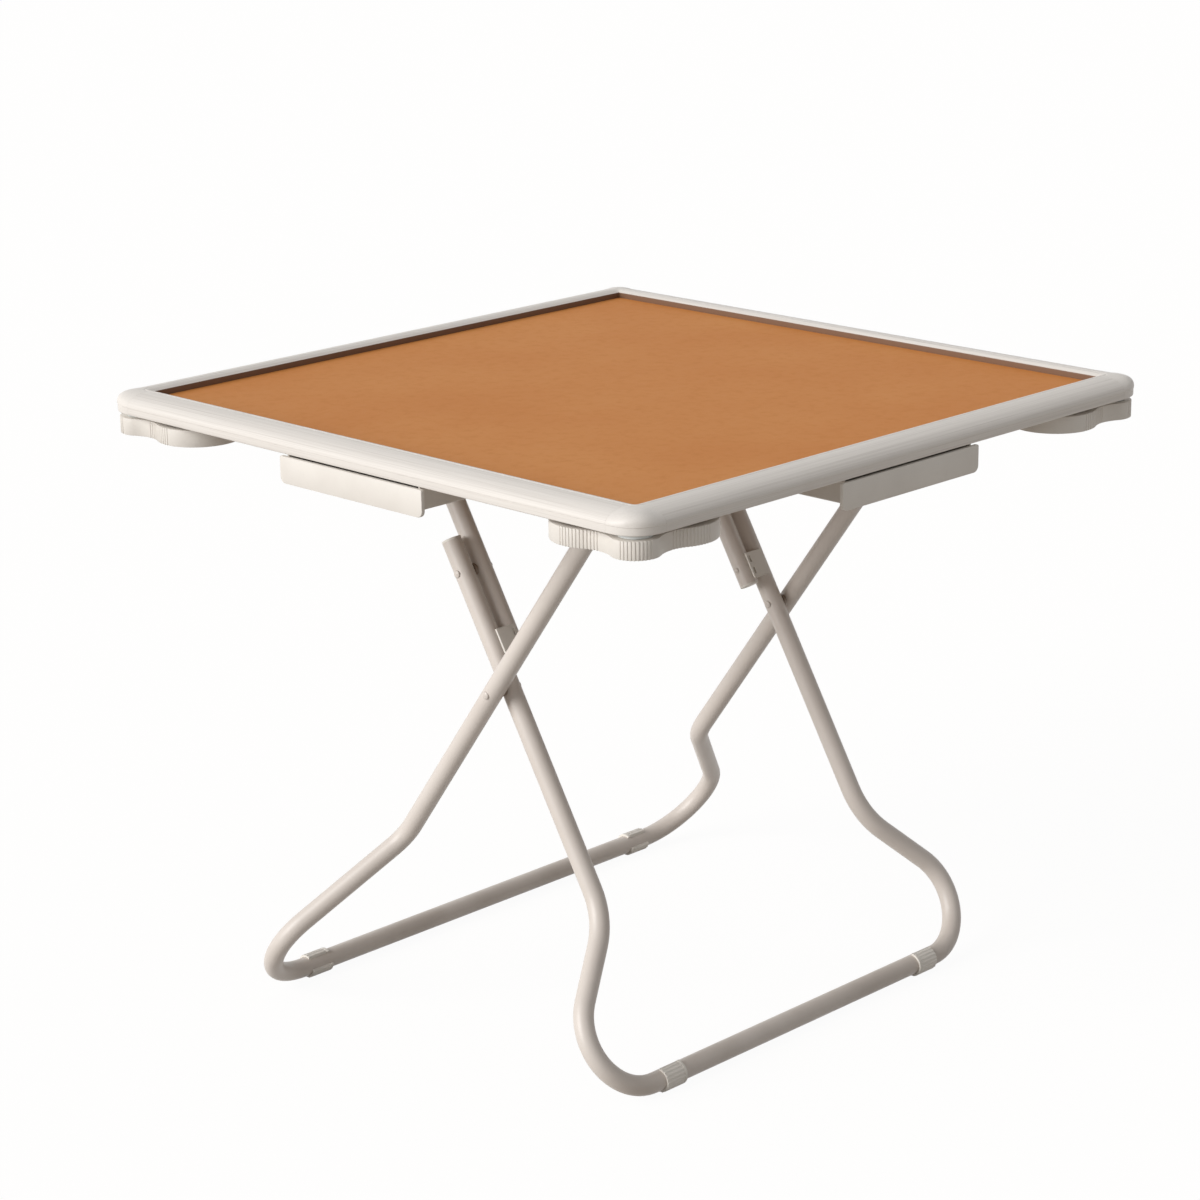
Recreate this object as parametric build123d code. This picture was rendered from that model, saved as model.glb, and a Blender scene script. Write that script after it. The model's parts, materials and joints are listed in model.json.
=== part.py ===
from build123d import *
import math
import os

# Square folding card table with a raised rim, four drawers, four swinging cup trays
# and crossed legs of bent tube. Millimetres. +Z is up and the floor is at zero.
# The front side faces -Y, and the legs fold up towards the rear, +Y.

# Whole table
table_side = 884.0
table_height = 755.0

# Top: sheet, board and the rim that holds them
surface_drop = 10.0
sheet_thickness = 2.5
sheet_lip_gap = 0.3
board_thickness = 9.0
rim_width = 43.0
rim_height = 24.6
rim_wall = 2.0
rim_slot_depth = 16.0
rim_slot_play = 0.4
rim_lip_round = 1.2
rim_lip_flat = 4.0
rim_nose_height = 15.2
rim_groove_place = 11.0
rim_groove_radius = 1.4
rim_groove_depth = 0.5
rim_band_step = 0.5
rim_bottom_round = 1.5
corner_radius = 43.5
corner_cap_reach = 44.5
cap_seam = 0.15
cap_web_thickness = 2.8
cap_web_reach = 80.0
cap_web_round = 20.0
cap_web_gap = 0.3

# Leg tubes. Three layers lie side by side: upper frame, front frame, rear frame
tube_diameter = 24.0
tube_wall = 1.2
tube_layer_gap = 4.7
frame_housing_gap = 32.2
crossing_height = 433.3
hinge_drop = 50.0
hinge_distance = 360.0
crossing_place_share = 0.555
front_knee_share = 0.597
front_flare_reach = 179.0
front_knee_radius = 93.0
front_foot_radius = 69.0
rear_knee_share = 0.52
rear_flare_reach = 213.0
rear_knee_radius = 58.0
rear_foot_radius = 76.0
top_bend_radius = 42.0
front_stub_length = 40.0
upper_tail_length = 114.0

# Rivets, spacers and plugs of the leg frames
rivet_radius = 3.0
rivet_head_radius = 4.8
rivet_head_height = 2.0
rivet_fit = 0.05
seat_gap = 0.1
open_pivot_gap = 0.3
spacer_radius = 7.5
plug_cap_thickness = 2.5
plug_cap_round = 1.0
plug_depth = 12.0
plug_fit = 0.05

# Lock clips on the tails of the upper frame
lock_clip_distance = 77.0
lock_clip_length = 33.0
lock_clip_wall = 2.6
lock_grip_fit = 0.1
lock_cradle_fit = 0.3
lock_screw_radius = 2.0
lock_screw_head_radius = 3.6
lock_screw_head_height = 1.8

# Foot clips on the floor bars
foot_clip_length = 40.0
foot_clip_wall = 3.0
foot_clip_flat = 0.5
foot_clip_fit = 0.05
foot_clip_mouth = 110.0
foot_clip_mouth_lift = 35.0
foot_bead_width = 4.0
foot_rib_depth = 0.6
foot_rib_pitch = 18.0
front_foot_clip_gap = 5.4
rear_foot_clip_gap = 0.8

# Saddles that carry the top bars of the two hinged frames
saddle_width = 26.0
saddle_fit = 0.1
saddle_block_drop = 25.0
saddle_block_play = 0.2
strap_thickness = 2.0
strap_flange = 17.0
saddle_housing_gap = 42.0
front_saddle_place = 170.0
rear_saddle_place = 118.0

# Screws into the board
screw_radius = 1.9
screw_head_radius = 3.9
screw_head_height = 2.2
screw_head_top_share = 0.7
screw_depth = 7.0
screw_fit = 0.1

# Drawers and their housings
drawer_width = 237.0
drawer_top_drop = 28.4
drawer_front_height = 31.0
drawer_front_thickness = 4.5
drawer_front_inset = 0.5
drawer_side_overhang = 8.0
drawer_low_overhang = 6.0
drawer_low_round = 8.0
drawer_top_round = 2.0
drawer_edge_round = 0.8
drawer_box_depth = 128.0
drawer_box_height = 22.0
drawer_box_round = 6.0
drawer_wall = 2.0
drawer_side_play = 0.8
drawer_floor_play = 0.3
drawer_front_gap = 1.0
housing_wall = 2.2
housing_flange = 13.0
housing_flange_thickness = 2.5
housing_rim_gap = 0.4
housing_back_play = 2.0
housing_screw_inset = 22.0

# Cup trays and their pivots
tray_top_drop = 30.5
tray_thickness = 20.5
tray_pivot_inset = 32.0
tray_pivot_lobe_radius = 27.0
tray_cup_lobe_radius = 51.0
tray_cup_reach = 82.0
tray_cup_spread = 28.5
tray_waist_radius = 45.0
cup_well_radius = 37.0
cup_well_depth = 16.0
cup_well_round = 3.0
flute_width = 1.6
flute_depth = 0.8
flute_pitch = 4.0
corner_flute_count = 9
lobe_flute_count = 11
tray_spacer_radius = 21.7
tray_running_gap = 0.3
pivot_radius = 4.0
pivot_fit = 0.05
pivot_head_radius = 9.0
pivot_head_height = 3.4
pivot_recess_radius = 9.6
pivot_recess_depth = 5.0

# Cuts run this far past the faces that they open
overrun = 5.0

# Levels and widths that follow
half_side = table_side / 2
field_half = half_side - rim_width
surface_z = table_height - surface_drop
board_top_z = surface_z - sheet_thickness
board_bottom_z = board_top_z - board_thickness
rim_bottom_z = table_height - rim_height
nose_width = rim_width - rim_lip_flat

# Drawers, as on the front side
drawer_top_z = table_height - drawer_top_drop
drawer_bottom_z = drawer_top_z - drawer_front_height
drawer_front_y = -half_side + drawer_front_inset
drawer_box_y = drawer_front_y + drawer_front_thickness
housing_width = drawer_width - 2 * drawer_side_overhang
housing_bottom_z = drawer_bottom_z + drawer_low_overhang
housing_front_y = drawer_box_y + drawer_front_gap
housing_back_y = drawer_box_y + drawer_box_depth + housing_back_play + housing_wall
drawer_box_width = housing_width - 2 * (housing_wall + drawer_side_play)
drawer_floor_z = housing_bottom_z + housing_wall + drawer_floor_play

# Leg frames, which stand clear of the drawers' housings
tube_radius = tube_diameter / 2
layer_pitch = tube_diameter + tube_layer_gap
rear_frame_half_width = -housing_back_y - frame_housing_gap - tube_radius
front_frame_half_width = rear_frame_half_width - layer_pitch
upper_frame_half_width = front_frame_half_width - layer_pitch
foot_clip_radius = tube_radius + foot_clip_wall
floor_bar_z = foot_clip_radius - foot_clip_flat
strap_half_depth = tube_radius + saddle_fit + strap_thickness + strap_flange
hinge_z = table_height - hinge_drop
rear_hinge_y = housing_back_y + saddle_housing_gap + strap_half_depth
rear_hinge = Vector(0, rear_hinge_y, hinge_z)
upper_hinge = Vector(0, rear_hinge_y + hinge_distance, hinge_z)
crossing = Vector(0, rear_hinge_y + hinge_distance * crossing_place_share, crossing_height)
upper_hinge_reach = (upper_hinge - crossing).length
rear_hinge_reach = (rear_hinge - crossing).length
front_down = (crossing - upper_hinge).normalized()
rear_down = (crossing - rear_hinge).normalized()
front_bar_distance = (crossing_height - floor_bar_z) / -front_down.Z
rear_bar_distance = (crossing_height - floor_bar_z) / -rear_down.Z

# The legs fold flat when the two short links differ as the two long ones do
upper_link = (upper_hinge_reach + hinge_distance - rear_hinge_reach) / 2
link_pivot = upper_hinge + front_down * upper_link
link_distance = upper_hinge_reach - upper_link

parts_folder = "parts"


def turned(shape, quarter_turns):
    """The shape, turned about the table's middle by quarter turns."""
    return Rot(0, 0, 90 * quarter_turns) * shape


def mirrored_x(shape):
    """The shape's mirror image on the other side of the table."""
    return mirror(shape, about=Plane.YZ)


def both_sides(shape):
    """A right-hand piece with its left-hand mirror image."""
    return [shape, mirrored_x(shape)]


def save(name, shapes):
    """Writes one node, from one solid or a list of separate solids."""
    pieces = shapes if isinstance(shapes, list) else [shapes]
    solids = []
    for piece in pieces:
        solids.extend(piece.solids())
    body = solids[0] if len(solids) == 1 else Compound(children=solids)
    export_step(body, os.path.join(parts_folder, name + ".step"))


# Rim, board and playing surface


def nose_arc(inset, start_x):
    """Quarter ellipse of the rim's nose, inset from its face, from a start to the side."""
    across = nose_width - inset
    up = rim_nose_height - inset
    sweep_angle = math.degrees(math.acos((start_x - rim_lip_flat) / across))
    middle = (rim_lip_flat, -rim_nose_height)
    return EllipticalCenterArc(middle, across, up, start_angle=0, arc_size=sweep_angle)


def rim_section(hollow):
    """Rim section: x outward from the field, y up from the rim's top."""
    slot_top = -surface_drop - sheet_thickness
    slot_bottom = slot_top - board_thickness
    ledge_bottom = slot_bottom - rim_wall
    band_x = rim_width - rim_band_step
    band_top = -rim_nose_height - rim_band_step
    lip_bend = rim_lip_round * (1 - math.sin(math.radians(45)))
    low_bend = rim_bottom_round * (1 - math.sin(math.radians(45)))
    edges = [
        Line((0, slot_top), (0, -rim_lip_round)),
        ThreePointArc((0, -rim_lip_round), (lip_bend, -lip_bend), (rim_lip_round, 0)),
        Line((rim_lip_round, 0), (rim_lip_flat, 0)),
        nose_arc(0, rim_lip_flat),
        Line((rim_width, -rim_nose_height), (band_x, band_top)),
        Line((band_x, band_top), (band_x, rim_bottom_round - rim_height)),
        ThreePointArc(
            (band_x, rim_bottom_round - rim_height),
            (band_x - low_bend, low_bend - rim_height),
            (band_x - rim_bottom_round, -rim_height),
        ),
        Line((band_x - rim_bottom_round, -rim_height), (rim_slot_depth, -rim_height)),
        Line((rim_slot_depth, -rim_height), (rim_slot_depth, ledge_bottom)),
        Line((rim_slot_depth, ledge_bottom), (0, ledge_bottom)),
        Line((0, ledge_bottom), (0, slot_bottom)),
        Line((0, slot_bottom), (rim_slot_depth, slot_bottom)),
        Line((rim_slot_depth, slot_bottom), (rim_slot_depth, slot_top)),
        Line((rim_slot_depth, slot_top), (0, slot_top)),
    ]
    groove = nose_arc(0, rim_groove_place) @ 1
    lift = rim_groove_radius - rim_groove_depth
    section = make_face(edges) - Pos(groove.X, groove.Y + lift) * Circle(rim_groove_radius)
    return section - rim_cavity() if hollow else section


def rim_cavity():
    """The hollow of the extruded rails, one wall inside the rounded nose."""
    inner_x = rim_slot_depth + rim_wall
    outer_x = rim_width - rim_wall
    low_x = outer_x - rim_band_step
    low_y = rim_wall - rim_height
    crown = nose_arc(rim_wall, inner_x)
    edges = [
        crown,
        Line(crown @ 0, (low_x, -rim_nose_height - rim_band_step)),
        Line((low_x, -rim_nose_height - rim_band_step), (low_x, low_y)),
        Line((low_x, low_y), (inner_x, low_y)),
        Line((inner_x, low_y), crown @ 1),
    ]
    return make_face(edges)


def rim_plane(x):
    """Plane of the rim's section across the front rail, at a place along it."""
    origin = (x, -field_half, table_height)
    return Plane(origin=origin, x_dir=(0, -1, 0), z_dir=(-1, 0, 0))


def rim_rail():
    """Front rail, between the corner caps."""
    half_length = half_side - corner_cap_reach - cap_seam
    return extrude(rim_plane(0) * rim_section(True), amount=half_length, both=True)


def corner_cap():
    """Front left corner cap, with the web that carries the tray's pivot."""
    bend = half_side - corner_radius
    section = rim_plane(-bend) * rim_section(False)
    curve = revolve(section, axis=Axis((-bend, -bend, 0), (0, 0, -1)), revolution_arc=90)
    straight = extrude(section, amount=corner_radius - corner_cap_reach)
    diagonal = Plane(origin=(0, 0, 0), x_dir=(1, 1, 0), z_dir=(1, -1, 0))
    cap = curve + straight + mirror(straight, about=diagonal)
    cap += corner_web()
    pivot = tray_pivot_place()
    hole = Cylinder(pivot_radius + pivot_fit, 2 * (board_bottom_z - rim_bottom_z))
    return cap - Pos(pivot.X, pivot.Y, rim_bottom_z) * hole


def corner_web():
    """Flat web across the underside of a corner cap."""
    outer = field_half + rim_slot_depth + rim_wall / 2
    inner = half_side - cap_web_reach
    size = outer - inner
    middle = (outer + inner) / 2
    web = Rectangle(size, size)
    inner_corner = web.vertices().sort_by(Axis((0, 0, 0), (1, 1, 0)))[-1]
    web = fillet(inner_corner, cap_web_round)
    web = Pos(-middle, -middle, rim_bottom_z) * extrude(web, amount=cap_web_thickness)
    beside = half_side - corner_cap_reach + cap_seam
    rail_space = Box(
        2 * beside, 2 * rim_width, 2 * rim_height, align=(Align.CENTER, Align.MAX, Align.CENTER)
    )
    rail_space = Pos(0, cap_web_gap - field_half, rim_bottom_z) * rail_space
    diagonal = Plane(origin=(0, 0, 0), x_dir=(1, 1, 0), z_dir=(1, -1, 0))
    return web - rail_space - mirror(rail_space, about=diagonal)


def top_board():
    """The board in the rim's slot, with blind holes for the screws."""
    reach = field_half + rim_slot_depth - rim_slot_play
    corner = corner_radius - half_side + reach
    board = extrude(RectangleRounded(2 * reach, 2 * reach, corner), amount=board_thickness)
    board = Pos(0, 0, board_bottom_z) * board
    places = saddle_screw_places() + housing_screw_places()
    hole = Cylinder(screw_radius + screw_fit, 2 * (screw_depth + seat_gap))
    for place in places:
        board -= Pos(place.X, place.Y, board_bottom_z) * hole
    return board


def playing_surface():
    """The tan sheet on the board, inside the rim's lip."""
    side = 2 * (field_half - sheet_lip_gap)
    sheet = Box(side, side, sheet_thickness, align=(Align.CENTER, Align.CENTER, Align.MAX))
    return Pos(0, 0, surface_z) * sheet


# Leg frames


def leg_point(down, distance, x):
    """A place on a leg frame, at a distance below the crossing and at x."""
    place = crossing + down * distance
    return Vector(x, place.Y, place.Z)


def straight_tube(start, end):
    """A straight run of tube from one place to another."""
    run = end - start
    ring = Circle(tube_radius) - Circle(tube_radius - tube_wall)
    return Plane(origin=start, z_dir=run) * extrude(ring, amount=run.length)


def tube_bend(start, corner, end, radius):
    """The bend at a corner, with the two places where it meets the runs."""
    back = (start - corner).normalized()
    onward = (end - corner).normalized()
    half_angle = math.radians(back.get_angle(onward)) / 2
    cut = radius / math.tan(half_angle)
    middle = corner + (back + onward).normalized() * (radius / math.sin(half_angle))
    ring = Circle(tube_radius) - Circle(tube_radius - tube_wall)
    section = Plane(origin=corner + back * cut, z_dir=-back) * ring
    turn = 180 - math.degrees(2 * half_angle)
    bend = revolve(section, axis=Axis(middle, onward.cross(back)), revolution_arc=turn)
    return bend, corner + back * cut, corner + onward * cut


def tube_along(points, radii):
    """A hollow tube along straight runs joined by round bends."""
    tube = None
    start = points[0]
    for before, corner, after, radius in zip(points, points[1:], points[2:], radii):
        bend, enter, leave = tube_bend(before, corner, after, radius)
        run = straight_tube(start, enter) + bend
        tube = run if tube is None else tube + run
        start = leave
    return tube + straight_tube(start, points[-1])


def cross_hole(place, radius):
    """A rivet hole straight through a leg, along X."""
    length = 2 * layer_pitch
    hole = Cylinder(radius, length, rotation=(0, 90, 0))
    return Pos(place.X, place.Y, place.Z) * hole


def rear_leg_points():
    """Corners of the rear frame's right half, from its floor bar to its top bar."""
    side = rear_frame_half_width
    foot_x = side + rear_flare_reach
    return [
        leg_point(rear_down, rear_bar_distance, 0),
        leg_point(rear_down, rear_bar_distance, foot_x),
        leg_point(rear_down, rear_bar_distance * rear_knee_share, side),
        leg_point(rear_down, -rear_hinge_reach, side),
        leg_point(rear_down, -rear_hinge_reach, 0),
    ]


def rear_leg_frame():
    """The closed rear frame, from its floor bar to its top bar."""
    side = rear_frame_half_width
    radii = [rear_foot_radius, rear_knee_radius, top_bend_radius]
    half = tube_along(rear_leg_points(), radii)
    half -= cross_hole(leg_point(rear_down, 0, side), rivet_radius + rivet_fit)
    return half + mirrored_x(half)


def front_leg_points():
    """Corners of the front frame's right half, from its floor bar to its stub."""
    side = front_frame_half_width
    foot_x = side + front_flare_reach
    return [
        leg_point(front_down, front_bar_distance, 0),
        leg_point(front_down, front_bar_distance, foot_x),
        leg_point(front_down, front_bar_distance * front_knee_share, side),
        leg_point(front_down, -link_distance - front_stub_length, side),
    ]


def front_leg_frame():
    """The open front frame, from its floor bar to its two capped stubs."""
    side = front_frame_half_width
    half = tube_along(front_leg_points(), [front_foot_radius, front_knee_radius])
    half -= cross_hole(leg_point(front_down, 0, side), rivet_radius + rivet_fit)
    half -= cross_hole(leg_point(front_down, -link_distance, side), rivet_radius + rivet_fit)
    return half + mirrored_x(half)


def upper_frame():
    """The short U that joins the front frame to the table."""
    side = upper_frame_half_width
    points = [
        leg_point(front_down, upper_tail_length - link_distance, side),
        leg_point(front_down, -upper_hinge_reach, side),
        leg_point(front_down, -upper_hinge_reach, 0),
    ]
    half = tube_along(points, [top_bend_radius])
    half -= cross_hole(leg_point(front_down, -link_distance, side), rivet_radius + rivet_fit)
    half -= lock_screw_hole()
    return half + mirrored_x(half)


def end_plug(end, outward):
    """A moulded plug: a rounded cap over the tube's end and a stem in its bore."""
    cap = extrude(Circle(tube_radius), amount=plug_cap_thickness)
    cap = fillet(cap.edges().group_by(Axis.Z)[-1], plug_cap_round)
    stem = extrude(Circle(tube_radius - tube_wall - plug_fit), amount=-plug_depth)
    return Plane(origin=end, z_dir=outward) * (cap + stem)


def front_frame_plugs():
    """Plugs in the two stubs of the front frame."""
    end = leg_point(front_down, -link_distance - front_stub_length, front_frame_half_width)
    return both_sides(end_plug(end, -front_down))


def upper_frame_plugs():
    """Plugs in the two tails of the upper frame."""
    end = leg_point(front_down, upper_tail_length - link_distance, upper_frame_half_width)
    return both_sides(end_plug(end, front_down))


def rivet(start_x, end_x, place, start_head, end_head):
    """A rivet along X from one x to another, with a domed head where asked."""
    shank = Cylinder(
        rivet_radius, end_x - start_x, align=(Align.CENTER, Align.CENTER, Align.MIN)
    )
    body = shank
    dome = domed_head(rivet_head_radius, rivet_head_height)
    if end_head:
        body += Pos(0, 0, end_x - start_x) * dome
    if start_head:
        body += mirror(dome, about=Plane.XY)
    along = Plane(origin=(start_x, place.Y, place.Z), x_dir=(0, 1, 0), z_dir=(1, 0, 0))
    return along * body


def domed_head(radius, height):
    """A shallow dome, flat side down at zero."""
    ball_radius = (radius**2 + height**2) / (2 * height)
    sine = math.sin(math.asin(radius / ball_radius) / 2)
    cosine = math.sqrt(1 - sine**2)
    sink = ball_radius - height
    edges = [
        Line((0, 0), (radius, 0)),
        ThreePointArc((radius, 0), (ball_radius * sine, ball_radius * cosine - sink), (0, height)),
        Line((0, height), (0, 0)),
    ]
    return revolve(Plane.XZ * make_face(edges), axis=Axis.Z)


def crossing_rivets():
    """Rivets through the rear and front frames where they cross."""
    inner_x = front_frame_half_width - tube_radius - seat_gap
    outer_x = rear_frame_half_width + tube_radius + seat_gap
    return both_sides(rivet(inner_x, outer_x, crossing, True, True))


def link_rivets():
    """Outer half of each link pivot, carried by the front frame."""
    inner_x = upper_frame_half_width + tube_radius + open_pivot_gap
    outer_x = front_frame_half_width + tube_radius + seat_gap
    return both_sides(rivet(inner_x, outer_x, link_pivot, False, True))


def link_studs():
    """Inner half of each link pivot, carried by the upper frame."""
    inner_x = upper_frame_half_width - tube_radius - seat_gap
    outer_x = upper_frame_half_width + tube_radius - tube_wall / 2
    return both_sides(rivet(inner_x, outer_x, link_pivot, True, False))


def spacer(near_x, far_x, place):
    """A plain ring between two tubes, round a rivet."""
    ring = extrude(
        Circle(spacer_radius) - Circle(rivet_radius + rivet_fit), amount=far_x - near_x
    )
    along = Plane(origin=(near_x, place.Y, place.Z), x_dir=(0, 1, 0), z_dir=(1, 0, 0))
    return along * ring


def crossing_spacers():
    """Rings that keep the rear and front frames apart."""
    near_x = front_frame_half_width + tube_radius + seat_gap
    far_x = rear_frame_half_width - tube_radius - seat_gap
    return both_sides(spacer(near_x, far_x, crossing))


def link_spacers():
    """Rings that keep the front and upper frames apart."""
    near_x = upper_frame_half_width + tube_radius + open_pivot_gap
    far_x = front_frame_half_width - tube_radius - seat_gap
    return both_sides(spacer(near_x, far_x, link_pivot))


# Lock clips


def lock_clip_plane():
    """Section plane of the right-hand lock clip: x outward, y to the front."""
    end = leg_point(front_down, lock_clip_distance - link_distance, upper_frame_half_width)
    return Plane(origin=end, x_dir=(1, 0, 0), z_dir=front_down)


def lock_clip():
    """Right-hand clip: grips half of the upper tube and cradles the front frame's."""
    reach = tube_radius + lock_clip_wall
    block = Rectangle(layer_pitch, 2 * reach, align=(Align.MIN, Align.CENTER))
    grip = Circle(tube_radius + lock_grip_fit)
    cradle = Pos(layer_pitch, 0) * Circle(tube_radius + lock_cradle_fit)
    leave_x = layer_pitch - tube_radius - lock_cradle_fit
    leave = Rectangle(layer_pitch, 2 * reach, align=(Align.MIN, Align.MIN))
    section = block - grip - cradle
    section -= Pos(leave_x, -2 * reach) * leave
    clip = extrude(lock_clip_plane() * section, amount=lock_clip_length)
    return clip - lock_screw_hole()


def lock_screw_place():
    """Middle of the lock clip's web, where its screw goes into the upper tube."""
    middle = lock_clip_distance + lock_clip_length / 2
    return leg_point(front_down, middle - link_distance, upper_frame_half_width)


def lock_screw_hole():
    """Hole for the clip's screw, through the tube's two walls."""
    place = lock_screw_place()
    hole = Cylinder(
        lock_screw_radius + rivet_fit,
        2 * (tube_radius + tube_wall + lock_clip_wall),
        rotation=(0, 90, 0),
    )
    return Pos(place.X, place.Y, place.Z) * hole


def lock_clip_screws():
    """One screw through the inner side of each upper tube into its clip."""
    place = lock_screw_place()
    start_x = upper_frame_half_width - tube_radius - seat_gap
    end_x = upper_frame_half_width + tube_radius + tube_wall
    shank = Cylinder(
        lock_screw_radius, end_x - start_x, align=(Align.CENTER, Align.CENTER, Align.MIN)
    )
    head = mirror(domed_head(lock_screw_head_radius, lock_screw_head_height), about=Plane.XY)
    along = Plane(origin=(start_x, place.Y, place.Z), x_dir=(0, 1, 0), z_dir=(1, 0, 0))
    return both_sides(along * (shank + head))


# Foot clips


def foot_clip_place(points, bend_radius, gap):
    """Middle of the right-hand clip on a floor bar, inside the bar's bend."""
    bar, foot, knee = points[:3]
    half_angle = math.radians((bar - foot).get_angle(knee - foot)) / 2
    bend_start = foot.X - bend_radius / math.tan(half_angle)
    return bend_start - gap - foot_clip_length / 2


def foot_clip(bar, x, rear_sign):
    """Ribbed C-shaped sleeve on a floor bar, flat where it meets the floor."""
    mouth_angle = foot_clip_mouth_lift if rear_sign < 0 else 180 - foot_clip_mouth_lift
    ring = Circle(foot_clip_radius) - Circle(tube_radius + foot_clip_fit)
    bead = ring - mouth_sector(mouth_angle)
    body = Circle(foot_clip_radius - foot_rib_depth) + foot_ribs()
    body -= Circle(tube_radius + foot_clip_fit)
    body -= mouth_sector(mouth_angle)
    bead_solid = extrude(bead, amount=foot_bead_width)
    body_solid = extrude(body, amount=foot_clip_length)
    clip = body_solid + bead_solid
    start = x - foot_clip_length / 2
    along = Plane(origin=(start, bar.Y, bar.Z), x_dir=(0, 1, 0), z_dir=(1, 0, 0))
    clip = along * clip
    below = Box(
        2 * foot_clip_length,
        4 * foot_clip_radius,
        2 * foot_clip_radius,
        align=(Align.CENTER, Align.CENTER, Align.MAX),
    )
    return clip - Pos(x, bar.Y, 0) * below


def mouth_sector(middle_angle):
    """Wedge that opens a foot clip, about a direction in its section."""
    reach = 2 * foot_clip_radius
    low = math.radians(middle_angle - foot_clip_mouth / 2)
    high = math.radians(middle_angle + foot_clip_mouth / 2)
    middle = math.radians(middle_angle)
    points = [
        (0, 0),
        (reach * math.cos(low), reach * math.sin(low)),
        (2 * reach * math.cos(middle), 2 * reach * math.sin(middle)),
        (reach * math.cos(high), reach * math.sin(high)),
    ]
    return make_face(Polyline(*points, close=True))


def foot_ribs():
    """Low ribs round a foot clip, along the bar."""
    count = int(360 / foot_rib_pitch)
    half = math.radians(360 / count / 4)
    outer = foot_clip_radius
    inner = tube_radius + foot_clip_wall / 2
    ribs = Sketch()
    for number in range(count):
        middle = math.radians(360 / count) * number
        points = [
            (inner * math.cos(middle - half), inner * math.sin(middle - half)),
            (outer * math.cos(middle - half / 2), outer * math.sin(middle - half / 2)),
            (outer * math.cos(middle + half / 2), outer * math.sin(middle + half / 2)),
            (inner * math.cos(middle + half), inner * math.sin(middle + half)),
        ]
        ribs += make_face(Polyline(*points, close=True))
    return ribs


# Saddles


def saddle_block(x, y):
    """Moulded block between the board and a top bar."""
    width = 2 * (tube_radius + saddle_fit - saddle_block_play)
    block = Box(
        saddle_width, width, saddle_block_drop, align=(Align.CENTER, Align.CENTER, Align.MAX)
    )
    block = Pos(x, y, board_bottom_z) * block
    seat = Cylinder(tube_radius + saddle_fit, 2 * saddle_width, rotation=(0, 90, 0))
    return block - Pos(x, y, hinge_z) * seat


def saddle_strap(x, y):
    """Bent metal strap under a top bar, screwed to the board on both sides."""
    inner = tube_radius + saddle_fit
    outer = inner + strap_thickness
    rise = board_bottom_z - hinge_z
    upper = Align.MIN
    shell = Circle(outer) + Rectangle(2 * outer, rise, align=(Align.CENTER, upper))
    room = Circle(inner) + Rectangle(2 * inner, rise, align=(Align.CENTER, upper))
    flange = Rectangle(
        2 * (outer + strap_flange), strap_thickness, align=(Align.CENTER, Align.MAX)
    )
    section = shell + Pos(0, rise) * flange - room
    plane = Plane(origin=(x, y, hinge_z), x_dir=(0, 1, 0), z_dir=(1, 0, 0))
    strap = extrude(plane * section, amount=saddle_width / 2, both=True)
    hole = Cylinder(screw_radius + screw_fit, 4 * strap_thickness)
    for place in strap_screw_places(x, y):
        strap -= Pos(place.X, place.Y, board_bottom_z) * hole
    return strap


def strap_screw_places(x, y):
    """The two screws of one strap."""
    reach = strap_half_depth - strap_flange / 2
    return [Vector(x, y - reach, 0), Vector(x, y + reach, 0)]


def saddle_places():
    """The four saddles: two on the rear frame's bar, two on the upper frame's."""
    return [
        (front_saddle_place, rear_hinge.Y),
        (-front_saddle_place, rear_hinge.Y),
        (rear_saddle_place, upper_hinge.Y),
        (-rear_saddle_place, upper_hinge.Y),
    ]


def saddle_screw_places():
    """All screws of the straps."""
    places = []
    for x, y in saddle_places():
        places.extend(strap_screw_places(x, y))
    return places


def board_screw(place, seat_z):
    """A pan-head screw up into the board, its head under a flange at a level."""
    length = board_bottom_z + screw_depth - seat_z
    shank = Cylinder(screw_radius, length, align=(Align.CENTER, Align.CENTER, Align.MIN))
    head = Cone(
        screw_head_radius * screw_head_top_share,
        screw_head_radius,
        screw_head_height,
        align=(Align.CENTER, Align.CENTER, Align.MAX),
    )
    return Pos(place.X, place.Y, seat_z) * (shank + head)


def saddle_screws():
    """Screws of the straps."""
    seat_z = board_bottom_z - strap_thickness
    return [board_screw(place, seat_z) for place in saddle_screw_places()]


# Drawers, modelled on the front side and turned into place


def drawer():
    """A moulded drawer: front plate and open box in one piece."""
    plate = Rectangle(drawer_width, drawer_front_height, align=(Align.CENTER, Align.MAX))
    low = plate.vertices().group_by(Axis.Y)[0]
    plate = fillet(low, drawer_low_round)
    high = plate.vertices().group_by(Axis.Y)[-1]
    plate = fillet(high, drawer_top_round)
    face = (0, drawer_front_y, drawer_top_z)
    front = Plane(origin=face, x_dir=(-1, 0, 0), z_dir=(0, 1, 0))
    plate = extrude(front * plate, amount=drawer_front_thickness)
    plate = fillet(plate.faces().sort_by(Axis.Y)[0].edges(), drawer_edge_round)
    low_middle = (Align.CENTER, Align.MIN, Align.MIN)
    body = Box(drawer_box_width, drawer_box_depth, drawer_box_height, align=low_middle)
    back = body.edges().filter_by(Axis.Z).group_by(Axis.Y)[-1]
    body = fillet(back, drawer_box_round)
    room = Box(
        drawer_box_width - 2 * drawer_wall,
        drawer_box_depth - 2 * drawer_wall,
        drawer_box_height,
        align=low_middle,
    )
    back = room.edges().filter_by(Axis.Z).group_by(Axis.Y)[-1]
    room = fillet(back, drawer_box_round - drawer_wall)
    body -= Pos(0, drawer_wall, drawer_wall) * room
    return plate + Pos(0, drawer_box_y, drawer_floor_z) * body


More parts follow.
